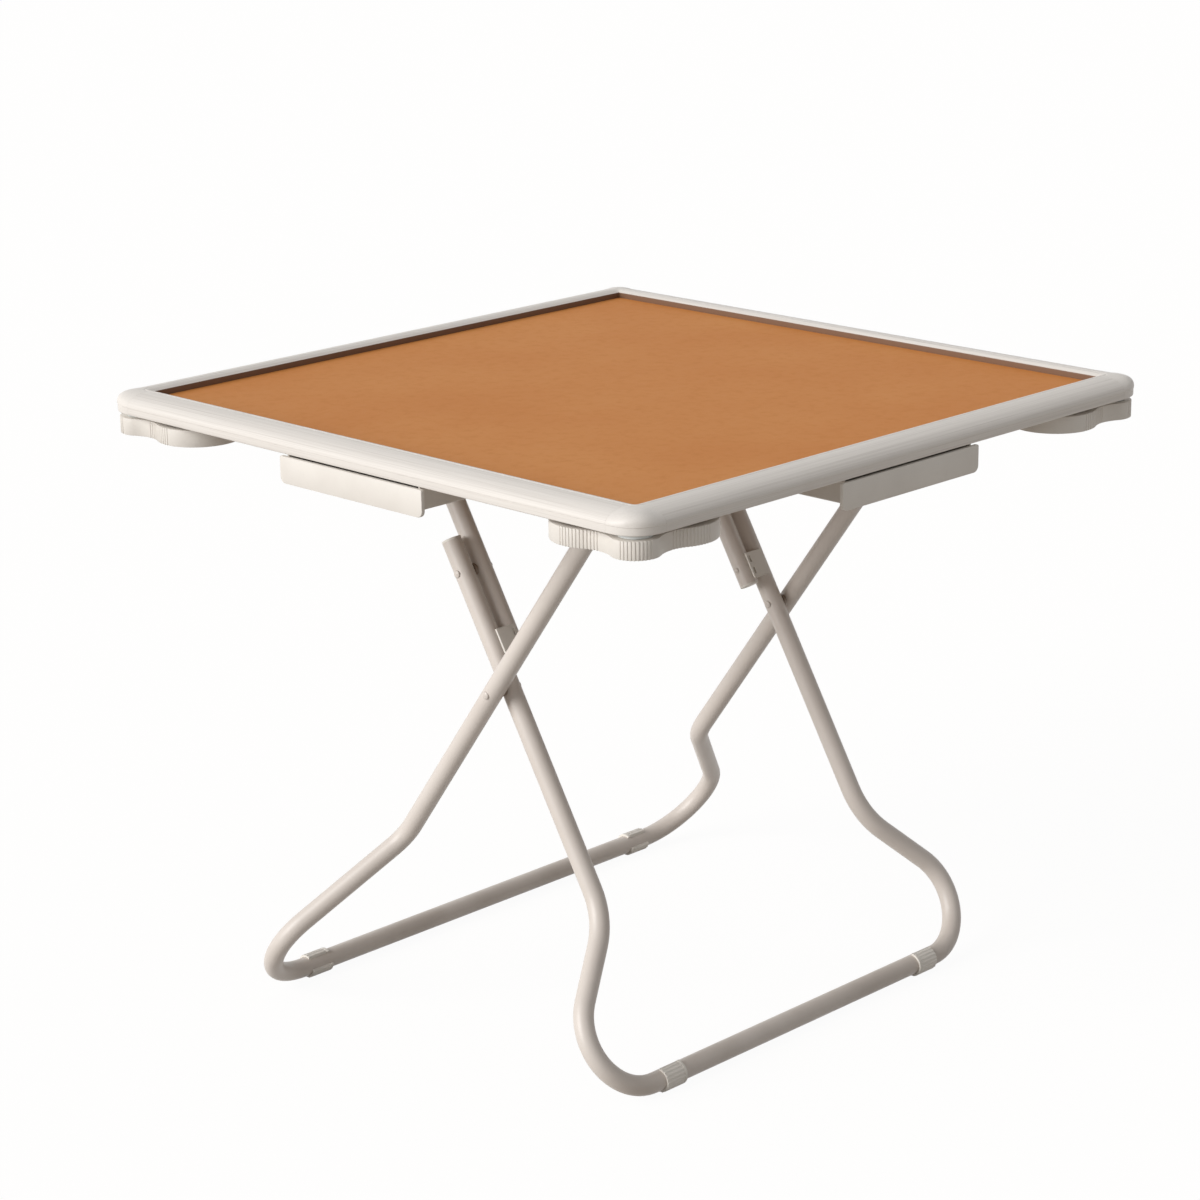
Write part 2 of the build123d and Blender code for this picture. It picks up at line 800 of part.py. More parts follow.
def drawer_housing():
    """A moulded housing: floor, sides and back, hung from the board by flanges."""
    depth = housing_back_y - housing_front_y
    height = board_bottom_z - housing_bottom_z
    low_middle = (Align.CENTER, Align.MIN, Align.MIN)
    inside = housing_width - 2 * housing_wall
    shell = Box(housing_width, depth, height, align=low_middle)
    room = Box(inside, depth - housing_wall + overrun, height, align=low_middle)
    shell -= Pos(0, -overrun, housing_wall) * room
    flange = Box(
        housing_width + 2 * housing_flange,
        housing_back_y + field_half - housing_rim_gap,
        housing_flange_thickness,
        align=(Align.CENTER, Align.MAX, Align.MAX),
    )
    open_top = Box(inside, 4 * depth, height)
    shell = Pos(0, housing_front_y, housing_bottom_z) * shell
    flange = Pos(0, housing_back_y, board_bottom_z) * flange
    shell += flange - Pos(0, 0, board_bottom_z) * open_top
    under_rim = Box(
        2 * drawer_width,
        2 * rim_width,
        2 * rim_height,
        align=(Align.CENTER, Align.MAX, Align.MIN),
    )
    shell -= Pos(0, housing_rim_gap - field_half, rim_bottom_z - housing_rim_gap) * under_rim
    lower = shell.edges().filter_by(Axis.Y).group_by(Axis.Z)[0]
    shell = fillet(lower, housing_wall)
    hole = Cylinder(screw_radius + screw_fit, 4 * housing_flange_thickness)
    for place in housing_screws_of():
        shell -= Pos(place.X, place.Y, board_bottom_z) * hole
    return shell


def housing_screws_of():
    """The four screws of one housing, for a drawer on the front side."""
    side = housing_width / 2 + housing_flange / 2
    near = -field_half + housing_screw_inset
    far = housing_back_y - housing_screw_inset
    return [Vector(x, y, 0) for x in (-side, side) for y in (near, far)]


def table_sides():
    """Name and quarter turns of each side of the table."""
    return [("front", 0), ("right", 1), ("rear", 2), ("left", 3)]


def housing_screw_places():
    """All screws of the housings, in place."""
    places = []
    for name, turns in table_sides():
        for place in housing_screws_of():
            places.append(place.rotate(Axis.Z, 90 * turns))
    return places


def housing_screws():
    """Screws of the housings."""
    seat_z = board_bottom_z - housing_flange_thickness
    return [board_screw(place, seat_z) for place in housing_screw_places()]


# Cup trays, modelled at the front left corner


def tray_pivot_place():
    """Pivot of the front left tray."""
    return Vector(-half_side + tray_pivot_inset, -half_side + tray_pivot_inset, 0)


def cup_direction(side):
    """Unit direction from a tray's pivot to one of its cup lobes."""
    angle = math.radians(45 + side * tray_cup_spread)
    return Vector(math.cos(angle), math.sin(angle), 0)


def waist(side):
    """Concave fill between the pivot lobe and one cup lobe, on the outer side."""
    along = cup_direction(side)
    outward = Vector(-side * along.Y, side * along.X, 0)
    far = tray_cup_lobe_radius + tray_waist_radius
    near = tray_pivot_lobe_radius + tray_waist_radius
    reach = (near**2 - far**2 + tray_cup_reach**2) / (2 * tray_cup_reach)
    rise = math.sqrt(near**2 - reach**2)
    centre = along * reach + outward * rise
    near_touch = centre * (tray_pivot_lobe_radius / near)
    cup = along * tray_cup_reach
    far_touch = cup + (centre - cup) * (tray_cup_lobe_radius / far)
    wedge = make_face(Polyline((0, 0), near_touch, centre, far_touch, cup, close=True))
    return wedge - Pos(centre.X, centre.Y) * Circle(tray_waist_radius)


def flutes(centre, radius, middle_angle, count):
    """V grooves down the outward side of a lobe."""
    step = flute_pitch / radius
    half = flute_width / radius
    cuts = Sketch()
    for number in range(count):
        angle = math.radians(middle_angle) + (number - (count - 1) / 2) * step
        tip = centre + on_circle(radius - flute_depth, angle)
        low = centre + on_circle(radius + flute_depth, angle - half)
        high = centre + on_circle(radius + flute_depth, angle + half)
        cuts += make_face(Polyline(tip, low, high, close=True))
    return cuts


def on_circle(radius, angle):
    """A place on a circle about zero, at an angle in radians."""
    return Vector(radius * math.cos(angle), radius * math.sin(angle), 0)


def tray_outline():
    """Three-lobed outline of a tray about its pivot, with fluted lobes."""
    outline = Circle(tray_pivot_lobe_radius)
    filler = [Vector(0, 0, 0)]
    for side in (1, -1):
        cup = cup_direction(side) * tray_cup_reach
        outline += Pos(cup.X, cup.Y) * Circle(tray_cup_lobe_radius)
        outline += waist(side)
        filler.append(cup)
    outline += make_face(Polyline(*filler, close=True))
    outline -= flutes(Vector(0, 0, 0), tray_pivot_lobe_radius, 225, corner_flute_count)
    for side in (1, -1):
        cup = cup_direction(side) * tray_cup_reach
        facing = 180 if side > 0 else 270
        outline -= flutes(cup, tray_cup_lobe_radius, facing, lobe_flute_count)
    return outline


def cup_tray():
    """Front left tray, with two cup wells and a recess for its pivot screw."""
    tray = extrude(tray_outline(), amount=-tray_thickness)
    well = extrude(Circle(cup_well_radius), amount=-cup_well_depth)
    well = fillet(well.edges().group_by(Axis.Z)[0], cup_well_round)
    for side in (1, -1):
        cup = cup_direction(side) * tray_cup_reach
        tray -= Pos(cup.X, cup.Y) * well
    bore = Cylinder(pivot_radius + pivot_fit, 4 * tray_thickness)
    recess = Cylinder(pivot_recess_radius, 2 * pivot_recess_depth)
    tray = tray - bore - Pos(0, 0, -tray_thickness) * recess
    pivot = tray_pivot_place()
    return Pos(pivot.X, pivot.Y, table_height - tray_top_drop) * tray


def tray_spacer():
    """Disc between a corner cap's web and its tray."""
    pivot = tray_pivot_place()
    low_z = table_height - tray_top_drop + tray_running_gap
    ring = Circle(tray_spacer_radius) - Circle(pivot_radius + pivot_fit)
    return Pos(pivot.X, pivot.Y, low_z) * extrude(ring, amount=rim_bottom_z - low_z)


def tray_pivot_screw():
    """Shoulder screw that a tray turns on."""
    pivot = tray_pivot_place()
    seat_z = table_height - tray_top_drop - tray_thickness + pivot_recess_depth - tray_running_gap
    top_z = rim_bottom_z + cap_web_thickness
    shank = Cylinder(pivot_radius, top_z - seat_z, align=(Align.CENTER, Align.CENTER, Align.MIN))
    head = Cylinder(
        pivot_head_radius, pivot_head_height, align=(Align.CENTER, Align.CENTER, Align.MAX)
    )
    head = chamfer(head.edges().group_by(Axis.Z)[0], pivot_head_height / 4)
    return Pos(pivot.X, pivot.Y, seat_z) * (shank + head)


def corner_copies(shape):
    """A front left piece, at all four corners by mirror image."""
    front = [shape, mirrored_x(shape)]
    rear = [mirror(piece, about=Plane.XZ) for piece in front]
    return front + rear


def save_top():
    """Writes the board, the sheet, the rails and the corner caps."""
    save("top_board", top_board())
    save("playing_surface", playing_surface())
    rail = rim_rail()
    for name, turns in table_sides():
        save("rim_rail_" + name, turned(rail, turns))
    corners = ("front_left", "front_right", "rear_left", "rear_right")
    for name, cap in zip(corners, corner_copies(corner_cap())):
        save("corner_cap_" + name, cap)
    for name, tray in zip(corners, corner_copies(cup_tray())):
        save("cup_tray_" + name, tray)
    save("tray_spacers", corner_copies(tray_spacer()))
    save("tray_pivot_screws", corner_copies(tray_pivot_screw()))


def save_drawers():
    """Writes the drawers, their housings and the housings' screws."""
    one_drawer = drawer()
    one_housing = drawer_housing()
    for name, turns in table_sides():
        save("drawer_" + name, turned(one_drawer, turns))
        save("drawer_housing_" + name, turned(one_housing, turns))
    save("housing_screws", housing_screws())


def save_saddles():
    """Writes the saddle blocks, straps and screws."""
    names = ("front_right", "front_left", "rear_right", "rear_left")
    straps = []
    for name, (x, y) in zip(names, saddle_places()):
        save("saddle_block_" + name, saddle_block(x, y))
        straps.append(saddle_strap(x, y))
    save("saddle_straps", straps)
    save("saddle_screws", saddle_screws())


def save_legs():
    """Writes the three leg frames and what they carry."""
    save("rear_leg_frame", rear_leg_frame())
    save("front_leg_frame", front_leg_frame())
    save("upper_frame", upper_frame())
    save("front_frame_plugs", front_frame_plugs())
    save("upper_frame_plugs", upper_frame_plugs())
    save("crossing_rivets", crossing_rivets())
    save("crossing_spacers", crossing_spacers())
    save("link_rivets", link_rivets())
    save("link_spacers", link_spacers())
    save("link_studs", link_studs())
    save("lock_clip_right", lock_clip())
    save("lock_clip_left", mirrored_x(lock_clip()))
    save("lock_clip_screws", lock_clip_screws())
    front = front_leg_points()
    rear = rear_leg_points()
    front_place = foot_clip_place(front, front_foot_radius, front_foot_clip_gap)
    rear_place = foot_clip_place(rear, rear_foot_radius, rear_foot_clip_gap)
    front_clip = foot_clip(front[0], front_place, -1)
    rear_clip = foot_clip(rear[0], rear_place, 1)
    save("front_foot_clip_right", front_clip)
    save("front_foot_clip_left", mirrored_x(front_clip))
    save("rear_foot_clip_right", rear_clip)
    save("rear_foot_clip_left", mirrored_x(rear_clip))


def main():
    """Writes every node."""
    os.makedirs(parts_folder, exist_ok=True)
    save_top()
    save_drawers()
    save_saddles()
    save_legs()


main()
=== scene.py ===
"""Blender scene of a square folding card table.

A raised pale rim holds a tan playing sheet. Under it hang four drawers and four
swing-out cup trays, and three bent tube frames make crossed legs that fold flat.
Sizes are in millimetres and are written to the meshes in metres.
"""

import json
import logging
import math
from dataclasses import dataclass
from enum import Enum
from functools import cache
from typing import Iterable, Sequence, Union

import bmesh
import bpy
from mathutils import Matrix, Vector

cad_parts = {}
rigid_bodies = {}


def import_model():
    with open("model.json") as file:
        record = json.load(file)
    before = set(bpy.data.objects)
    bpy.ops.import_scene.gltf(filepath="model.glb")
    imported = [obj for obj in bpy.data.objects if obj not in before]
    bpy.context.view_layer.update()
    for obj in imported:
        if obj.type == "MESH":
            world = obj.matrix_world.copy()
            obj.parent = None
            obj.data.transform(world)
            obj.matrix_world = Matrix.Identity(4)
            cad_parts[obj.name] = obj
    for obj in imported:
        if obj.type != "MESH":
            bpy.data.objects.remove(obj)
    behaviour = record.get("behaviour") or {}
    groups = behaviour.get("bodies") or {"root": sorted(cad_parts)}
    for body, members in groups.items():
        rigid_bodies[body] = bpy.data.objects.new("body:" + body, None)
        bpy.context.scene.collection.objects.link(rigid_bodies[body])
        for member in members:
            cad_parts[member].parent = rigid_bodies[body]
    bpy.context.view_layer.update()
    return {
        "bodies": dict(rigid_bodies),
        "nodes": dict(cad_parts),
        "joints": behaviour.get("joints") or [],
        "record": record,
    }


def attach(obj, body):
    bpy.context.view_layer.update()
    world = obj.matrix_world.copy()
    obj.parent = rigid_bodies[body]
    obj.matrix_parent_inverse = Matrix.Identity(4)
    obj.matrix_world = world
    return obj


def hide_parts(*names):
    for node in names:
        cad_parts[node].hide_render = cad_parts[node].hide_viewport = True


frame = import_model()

log = logging.getLogger("card_table")
MM = 0.001
ORIGIN = Vector((0, 0, 0))
EVEN = (1.0, 1.0, 1.0)
UPSIDE_DOWN = Matrix.Rotation(math.pi, 4, "X")
CORNERS = ("front_left", "front_right", "rear_left", "rear_right")
SIDES = ("front", "right", "rear", "left")
WAYS = (1, -1)
QUADRANTS = ((-1, -1), (1, -1), (1, 1), (-1, 1))

TABLE_HALF = 442.0
PIVOT_INSET = 32.0
PIVOT_BORE = 4.05

WELD = 0.002
BEND_STEP = 5.0
CREASE = 38.0
SHANK_FACETS = 16
BORE_FACETS = 24
TUBE_FACETS = 32
HEAD_FACETS = 36
PLUG_FACETS = 48
WELL_FACETS = 72
ROUND_SPANS = 5
EDGE_SPANS = 6
DOME_SPANS = 8
HEAD_SHARES = ((1.0, 0.0), (1.0, 0.55), (0.93, 0.85), (0.8, 1.0))
CROSS_BAR = 0.24
CROSS_TAPER = 0.7
CROSS_FLOOR = 0.5

Number = Union["Wire", float]
Colour = tuple[float, float, float, float]
Place = tuple[float, float, float]
Socket = bpy.types.NodeSocket
Material = bpy.types.Material


def tone(red: int, green: int, blue: int) -> Colour:
    """Turns a display colour of 0 to 255 into a linear one.

    Args:
        red: Red as displayed.
        green: Green as displayed.
        blue: Blue as displayed.

    Returns:
        The linear colour with full alpha.
    """
    shares = [value / 255 for value in (red, green, blue)]
    linear = [s / 12.92 if s < 0.04045 else ((s + 0.055) / 1.055) ** 2.4 for s in shares]
    return (linear[0], linear[1], linear[2], 1.0)


class Wire:
    """A number output of a shader node, on which arithmetic adds Math nodes."""

    def __init__(self, nodes: "Nodes", socket: Socket) -> None:
        """Wraps an output socket of a node tree."""
        self.nodes = nodes
        self.socket = socket

    def _math(self, operation: str, *values: Number, clamp: bool = False) -> "Wire":
        """Adds one Math node.

        Args:
            operation: Blender's name of the operation.
            values: The operands, in order.
            clamp: Whether the result is kept between 0 and 1.

        Returns:
            The result.
        """
        settings = {"operation": operation, "use_clamp": clamp}
        node = self.nodes.add("ShaderNodeMath", settings, dict(enumerate(values)))
        return Wire(self.nodes, node.outputs[0])

    def __add__(self, other: Number) -> "Wire":
        """This plus another."""
        return self._math("ADD", self, other)

    def __radd__(self, other: float) -> "Wire":
        """A number plus this."""
        return self._math("ADD", other, self)

    def __rsub__(self, other: float) -> "Wire":
        """A number minus this."""
        return self._math("SUBTRACT", other, self)

    def __mul__(self, other: Number) -> "Wire":
        """This times another."""
        return self._math("MULTIPLY", self, other)

    def __abs__(self) -> "Wire":
        """This without its sign."""
        return self._math("ABSOLUTE", self)

    def over(self, limit: float) -> "Wire":
        """1 where this is above a limit, 0 elsewhere."""
        return self._math("GREATER_THAN", self, limit)

    def either(self, other: Number) -> "Wire":
        """The larger of this and another."""
        return self._math("MAXIMUM", self, other)

    def ramp(self, low: float, high: float) -> "Wire":
        """0 up to the low value, 1 from the high one on, and even between them."""
        span = 1 / (high - low)
        return self._math("MULTIPLY_ADD", self, span, -low * span, clamp=True)


class Nodes:
    """The shader nodes of one material or world."""

    def __init__(self, owner: Material | bpy.types.World) -> None:
        """Empties the owner's node tree."""
        owner.use_nodes = True
        self.tree = owner.node_tree
        self.tree.nodes.clear()

    def add(
        self,
        kind: str,
        settings: dict[str, object] | None = None,
        inputs: dict[str | int, object] | None = None,
    ) -> bpy.types.Node:
        """Adds one node.

        Args:
            kind: Blender's type name of the node.
            settings: Properties that are set first.
            inputs: Values, wires or sockets, by socket name or number.

        Returns:
            The new node.
        """
        node = self.tree.nodes.new(kind)
        for name, value in (settings or {}).items():
            setattr(node, name, value)
        for key, value in (inputs or {}).items():
            source = value.socket if isinstance(value, Wire) else value
            if isinstance(source, Socket):
                self.tree.links.new(source, node.inputs[key])
            else:
                node.inputs[key].default_value = source
        return node

    def seen(self) -> Wire:
        """1 for rays from the camera or off a shiny surface, 0 for all others."""
        rays = self.add("ShaderNodeLightPath").outputs
        return Wire(self, rays["Is Camera Ray"]).either(Wire(self, rays["Is Glossy Ray"]))

    def mix(self, share: Number, first: Socket, second: Socket, output: str) -> None:
        """Sends a mix of two shaders to an output node: a share of 0 gives the first."""
        mixed = self.add("ShaderNodeMixShader", None, {0: share, 1: first, 2: second})
        self.add(output, None, {"Surface": mixed.outputs[0]})


class Paint(Nodes):
    """The nodes of one material, with the patterns that it is made of."""

    def __init__(self, name: str) -> None:
        """Starts an empty material."""
        self.material = bpy.data.materials.new(name)
        super().__init__(self.material)

    def place(self, stretch: Place) -> Socket:
        """Object coordinates in metres, scaled along each axis.

        Args:
            stretch: Scale along X, Y and Z.

        Returns:
            The scaled coordinates.
        """
        coords = self.add("ShaderNodeTexCoord").outputs["Object"]
        mapping = self.add("ShaderNodeMapping", None, {"Vector": coords, "Scale": stretch})
        return mapping.outputs[0]

    def axes(self) -> tuple[Wire, Wire, Wire]:
        """The X, Y and Z object coordinates in metres."""
        coords = self.add("ShaderNodeTexCoord").outputs["Object"]
        split = self.add("ShaderNodeSeparateXYZ", None, {0: coords})
        return tuple(Wire(self, output) for output in split.outputs)

    def off_middle(self) -> Wire:
        """The larger of the distances from the table's middle along X and Y, in metres."""
        x, y, _ = self.axes()
        return abs(x).either(abs(y))

    def noise(self, scale: float, detail: float, rough: float = 0.55, stretch: Place = EVEN) -> Wire:
        """Fractal noise about 0.5.

        Args:
            scale: Features per metre.
            detail: Octaves.
            rough: Strength of each finer octave.
            stretch: Extra scale along each axis.

        Returns:
            The noise value.
        """
        inputs = {"Vector": self.place(stretch), "Scale": scale}
        inputs |= {"Detail": detail, "Roughness": rough}
        return Wire(self, self.add("ShaderNodeTexNoise", None, inputs).outputs[0])

    def cells(self, scale: float, stretch: Place = EVEN) -> Wire:
        """Distance to the nearest of points scattered at a scale per metre, 0 at a point."""
        inputs = {"Vector": self.place(stretch), "Scale": scale}
        return Wire(self, self.add("ShaderNodeTexVoronoi", None, inputs).outputs["Distance"])

    def layers(self, base: Colour, *layers: tuple[Number, Colour]) -> Socket:
        """Lays colours over a base colour, one after another.

        Args:
            base: The base colour.
            layers: For each layer its share, from 0 to 1, and its colour.

        Returns:
            The mixed colour.
        """
        settings = {"data_type": "RGBA"}
        for share, colour in layers:
            node = self.add("ShaderNodeMix", settings, {0: share, 6: base, 7: colour})
            base = node.outputs[2]
        return base

    def relief(self, height: Wire, depth: float, strength: float) -> Socket:
        """A surface normal from a height of 0 to 1, whose 1 stands for a depth in millimetres."""
        inputs = {"Height": height, "Distance": depth * MM, "Strength": strength}
        return self.add("ShaderNodeBump", None, inputs).outputs[0]

    def finish(self, colour: Socket, rough: Wire, normal: Socket, **fixed: float) -> Material:
        """Joins a Principled shader to the output.

        Args:
            colour: The base colour.
            rough: The roughness.
            normal: The surface normal.
            fixed: Other sockets, with _ for a space, that are the same all over.

        Returns:
            The finished material.
        """
        inputs = {name.replace("_", " "): value for name, value in fixed.items()}
        inputs |= {"Base Color": colour, "Roughness": rough, "Normal": normal}
        shader = self.add("ShaderNodeBsdfPrincipled", None, inputs)
        self.add("ShaderNodeOutputMaterial", None, {"Surface": shader.outputs[0]})
        return self.material


@dataclass(frozen=True)
class SheetCovering:
    """Tan leathercloth of the playing field: cloudy, finely mottled, matt, with painted shade and
    dust by the rim.
    """

    base: Colour = tone(206, 133, 68)
    light: Colour = tone(211, 141, 77)
    dark: Colour = tone(190, 119, 58)
    rim_shade_and_dust_start: float = 0.380
    rim_shade_and_dust_end: float = 0.399

    @cache
    def material(self) -> Material:
        """Makes the covering's material.

        Returns:
            The material.
        """
        paint = Paint("tan_leathercloth")
        clouds = paint.noise(5, 2)
        mottle = paint.noise(70, 4, 0.65)
        flecks = paint.noise(1500, 2)
        # Painted shade with dust: the sheet darkens in a band along the rim's inner wall.
        edge = paint.off_middle().ramp(self.rim_shade_and_dust_start, self.rim_shade_and_dust_end)
        colour = paint.layers(
            self.base,
            (clouds.ramp(0.35, 0.7), self.light),
            (mottle.ramp(0.5, 0.75) * 0.32, self.dark),
            (flecks.ramp(0.52, 0.72) * 0.22, self.dark),
            (edge * 0.2, self.dark),
        )
        normal = paint.relief(paint.cells(900) * 0.6 + flecks * 0.4, 0.06, 0.4)
        return paint.finish(colour, 0.58 + mottle * 0.16, normal, Specular_IOR_Level=0.22)


class Run(Enum):
    """The way that a rim piece's streaks run, and how strong they are."""

    ALONG_X = ((0.004, 1.0, 1.0), 1.0)
    ALONG_Y = ((1.0, 0.004, 1.0), 1.0)
    ROUND = ((0.35, 0.35, 1.0), 0.35)


@dataclass(frozen=True)
class RimFinish:
    """Pale extruded plastic with faint lengthwise streaks and a dark inner edge."""

    run: Run = Run.ALONG_X
    pale: Colour = tone(230, 224, 217)
    grey: Colour = tone(200, 192, 184)
    inner: Colour = tone(114, 84, 62)
    inner_reach: float = 0.3994

    @cache
    def material(self) -> Material:
        """Makes the rim's material for one run of its streaks.

        Returns:
            The material.
        """
        paint = Paint("rim_" + self.run.name.lower())
        stretch, strength = self.run.value
        streak = paint.noise(1400, 3, 0.7, stretch)
        wide = paint.noise(320, 2, stretch=stretch)
        scuffs = paint.noise(24, 4)
        streaks = streak.ramp(0.45, 0.75) * (0.6 * strength)
        streaks += wide.ramp(0.48, 0.78) * (0.45 * strength)
        colour = paint.layers(
            self.pale,
            (streaks, self.grey),
            (scuffs.ramp(0.6, 0.8) * 0.15, self.grey),
            (1 - paint.off_middle().over(self.inner_reach), self.inner),
        )
        normal = paint.relief(streak * 0.7 + wide * 0.3, 0.05 * strength, 0.6)
        return paint.finish(colour, 0.36 + streak * 0.16, normal, Specular_IOR_Level=0.45)


@dataclass(frozen=True)
class MouldedPlastic:
    """Satin moulded plastic with a fine eroded texture and light dust."""

    name: str
    base: Colour = tone(228, 222, 214)
    dull: Colour = tone(206, 198, 189)
    texture: float = 0.03

    @cache
    def material(self) -> Material:
        """Makes the plastic's material.

        Returns:
            The material.
        """
        paint = Paint(self.name)
        clouds = paint.noise(14, 3)
        fine = paint.noise(2600, 2)
        dust = paint.noise(190, 5, 0.7)
        colour = paint.layers(
            self.base,
            (clouds.ramp(0.4, 0.75) * 0.4, self.dull),
            (dust.ramp(0.58, 0.8) * 0.35, self.dull),
        )
        normal = paint.relief(fine * 0.7 + dust * 0.3, self.texture, 0.6)
        return paint.finish(colour, 0.42 + dust * 0.14, normal, Specular_IOR_Level=0.45)


@dataclass(frozen=True)
class PowderCoat:
    """Cream powder coat on steel tube, with a soft orange-peel surface and painted shade near the
    floor.
    """

    base: Colour = tone(217, 208, 200)
    shade: Colour = tone(201, 190, 181)
    floor_shade: Colour = tone(172, 160, 148)
    floor_shade_height: float = 0.09

    @cache
    def material(self) -> Material:
        """Makes the coat's material.

        Returns:
            The material.
        """
        paint = Paint("powder_coat")
        peel = paint.noise(620, 2)
        patches = paint.noise(9, 4)
        specks = paint.noise(1700, 2)
        # Painted shade: patches of the tube darken in the lowest 90 mm, near the floor.
        low = (1 - paint.axes()[2].ramp(0.0, self.floor_shade_height)) * patches.ramp(0.3, 0.7)
        colour = paint.layers(
            self.base,
            (patches.ramp(0.4, 0.75) * 0.45, self.shade),
            (specks.ramp(0.6, 0.75) * 0.3, self.shade),
            (low * 0.45, self.floor_shade),
        )
        rough = 0.3 + patches * 0.12 + specks * 0.08
        normal = paint.relief(peel * 0.8 + specks * 0.2, 0.06, 0.5)
        return paint.finish(colour, rough, normal, Specular_IOR_Level=0.5)


@dataclass(frozen=True)
class PlatedSteel:
    """Zinc plated steel of the screws."""

    base: Colour = tone(176, 174, 170)
    dull: Colour = tone(138, 135, 130)

    @cache
    def material(self) -> Material:
        """Makes the plating's material.

        Returns:
            The material.
        """
        paint = Paint("zinc_plate")
        spots = paint.noise(420, 4)
        colour = paint.layers(self.base, (spots.ramp(0.42, 0.72), self.dull))
        normal = paint.relief(paint.noise(2400, 2), 0.03, 0.6)
        return paint.finish(colour, 0.28 + spots * 0.22, normal, Metallic=0.85)


@dataclass(frozen=True)
class PressedBoard:
    """Underside of the board: fine pressed chips under a thin pale wash."""

    base: Colour = tone(168, 136, 102)
    chip: Colour = tone(139, 106, 76)
    pale: Colour = tone(190, 162, 130)

    @cache
    def material(self) -> Material:
        """Makes the board's material.

        Returns:
            The material.
        """
        paint = Paint("pressed_board")
        chips = paint.cells(260, (1.0, 0.45, 1.0))
        fibre = paint.noise(900, 3, stretch=(1.0, 0.3, 1.0))
        clouds = paint.noise(6, 3)
        colour = paint.layers(
            self.chip,
            (chips.ramp(0.2, 0.6), self.base),
            (fibre.ramp(0.5, 0.8) * 0.5, self.pale),
            (clouds.ramp(0.45, 0.75) * 0.2, self.chip),
        )
        normal = paint.relief(chips * 0.4 + fibre * 0.6, 0.08, 0.5)
        return paint.finish(colour, 0.66 + fibre * 0.16, normal, Specular_IOR_Level=0.3)


Finish = Union[SheetCovering, RimFinish, MouldedPlastic, PowderCoat, PlatedSteel, PressedBoard]

SHEET = SheetCovering()
TRAY_PLASTIC = MouldedPlastic("tray_plastic")
DRAWER_PLASTIC = MouldedPlastic("drawer_plastic", tone(230, 224, 216), tone(210, 202, 193), 0.025)
HOUSING_PLASTIC = MouldedPlastic("housing_plastic", tone(217, 210, 201), tone(196, 187, 177), 0.04)
CLIP_PLASTIC = MouldedPlastic("clip_plastic", tone(232, 227, 219), tone(212, 205, 196))
DISC_PLASTIC = MouldedPlastic("disc_plastic", tone(228, 233, 233), tone(208, 212, 212), 0.01)
RING_PLASTIC = MouldedPlastic("ring_plastic", tone(142, 126, 112), tone(118, 102, 90), 0.02)
TUBE_COAT = PowderCoat()
ZINC = PlatedSteel()
BOARD = PressedBoard()

Ring = list[bmesh.types.BMVert]


@dataclass(frozen=True)
class Tag:
    """A piece's name, material slot, body and CAD node."""

    name: str
    slot: str
    body: str
    node: str


def tag_of(node: str, slot: str, body: str) -> Tag:
    """The tag of a piece that is named after its CAD node."""
    return Tag(node + "_piece", slot, body, node)


class Form:
    """Gathers the rings and faces of one piece, whose points are in millimetres."""

    def __init__(self) -> None:
        """Starts an empty form in the table's own frame."""
        self.bm = bmesh.new()
        self.frame = Matrix.Identity(4)

    def at(self, frame: Matrix) -> "Form":
        """Sets the local frame, in millimetres, of the rings that follow."""
        self.frame = frame
        return self

    def ring(self, points: Iterable[Sequence[float]]) -> Ring:
        """Adds the corners of one ring, which are given in the local frame."""
        return [self.bm.verts.new((self.frame @ Vector(point)) * MM) for point in points]

    def bridge(self, first: Ring, second: Ring) -> None:
        """Adds a band of faces between two rings of the same count.

        Args:
            first: One ring.
            second: The other ring.
        """
        for i in range(len(first)):
            j = (i + 1) % len(first)
            self.bm.faces.new((first[i], first[j], second[j], second[i]))

    def cap(self, *rings: Ring) -> None:
        """Fills a flat ring, less any rings that lie in it.

        Args:
            rings: The outer ring, then its holes.
        """
        edges = []
        for ring in rings:
            for i, corner in enumerate(ring):
                pair = (corner, ring[(i + 1) % len(ring)])
                edges.append(self.bm.edges.get(pair) or self.bm.edges.new(pair))
        bmesh.ops.triangle_fill(self.bm, edges=edges, use_beauty=True)

    def stack(self, rows: Sequence[Iterable[Sequence[float]]], ends: bool = True) -> list[Ring]:
        """Joins rows of points into a wall.

        Args:
            rows: Rings of points, in order.
            ends: Whether the first and last ring are filled.

        Returns:
            The rings.
        """
        rings = [self.ring(row) for row in rows]
        for first, second in zip(rings, rings[1:]):
            self.bridge(first, second)
        if ends:
            self.cap(rings[0])
            self.cap(rings[-1])
        return rings

    def lathe(self, profile: Sequence[tuple[float, float]], steps: int) -> None:
        """Turns a profile of radii and heights about the local Z axis in a number of facets."""
        self.stack([circle(radius, height, steps) for radius, height in profile], False)

    def piece(self, tag: Tag, finish: Finish, crease: float = CREASE) -> None:
        """Makes the object, puts it on its body and reports it.

        Args:
            tag: Its name, slot, body and CAD node.
            finish: Its finish.
            crease: Angle above which an edge stays sharp, in degrees.
        """
        bmesh.ops.remove_doubles(self.bm, verts=self.bm.verts, dist=WELD * MM)
        bmesh.ops.recalc_face_normals(self.bm, faces=self.bm.faces)
        mesh = bpy.data.meshes.new(tag.name)
        self.bm.to_mesh(mesh)
        self.bm.free()
        mesh.materials.append(finish.material())
        mesh.shade_smooth()
        mesh.set_sharp_from_angle(angle=math.radians(crease))
        piece = bpy.data.objects.new(tag.name, mesh)
        bpy.context.scene.collection.objects.link(piece)
        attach(piece, tag.body)
        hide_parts(tag.node)
        log.info("%s: %d faces on %s", tag.name, len(mesh.polygons), tag.body)


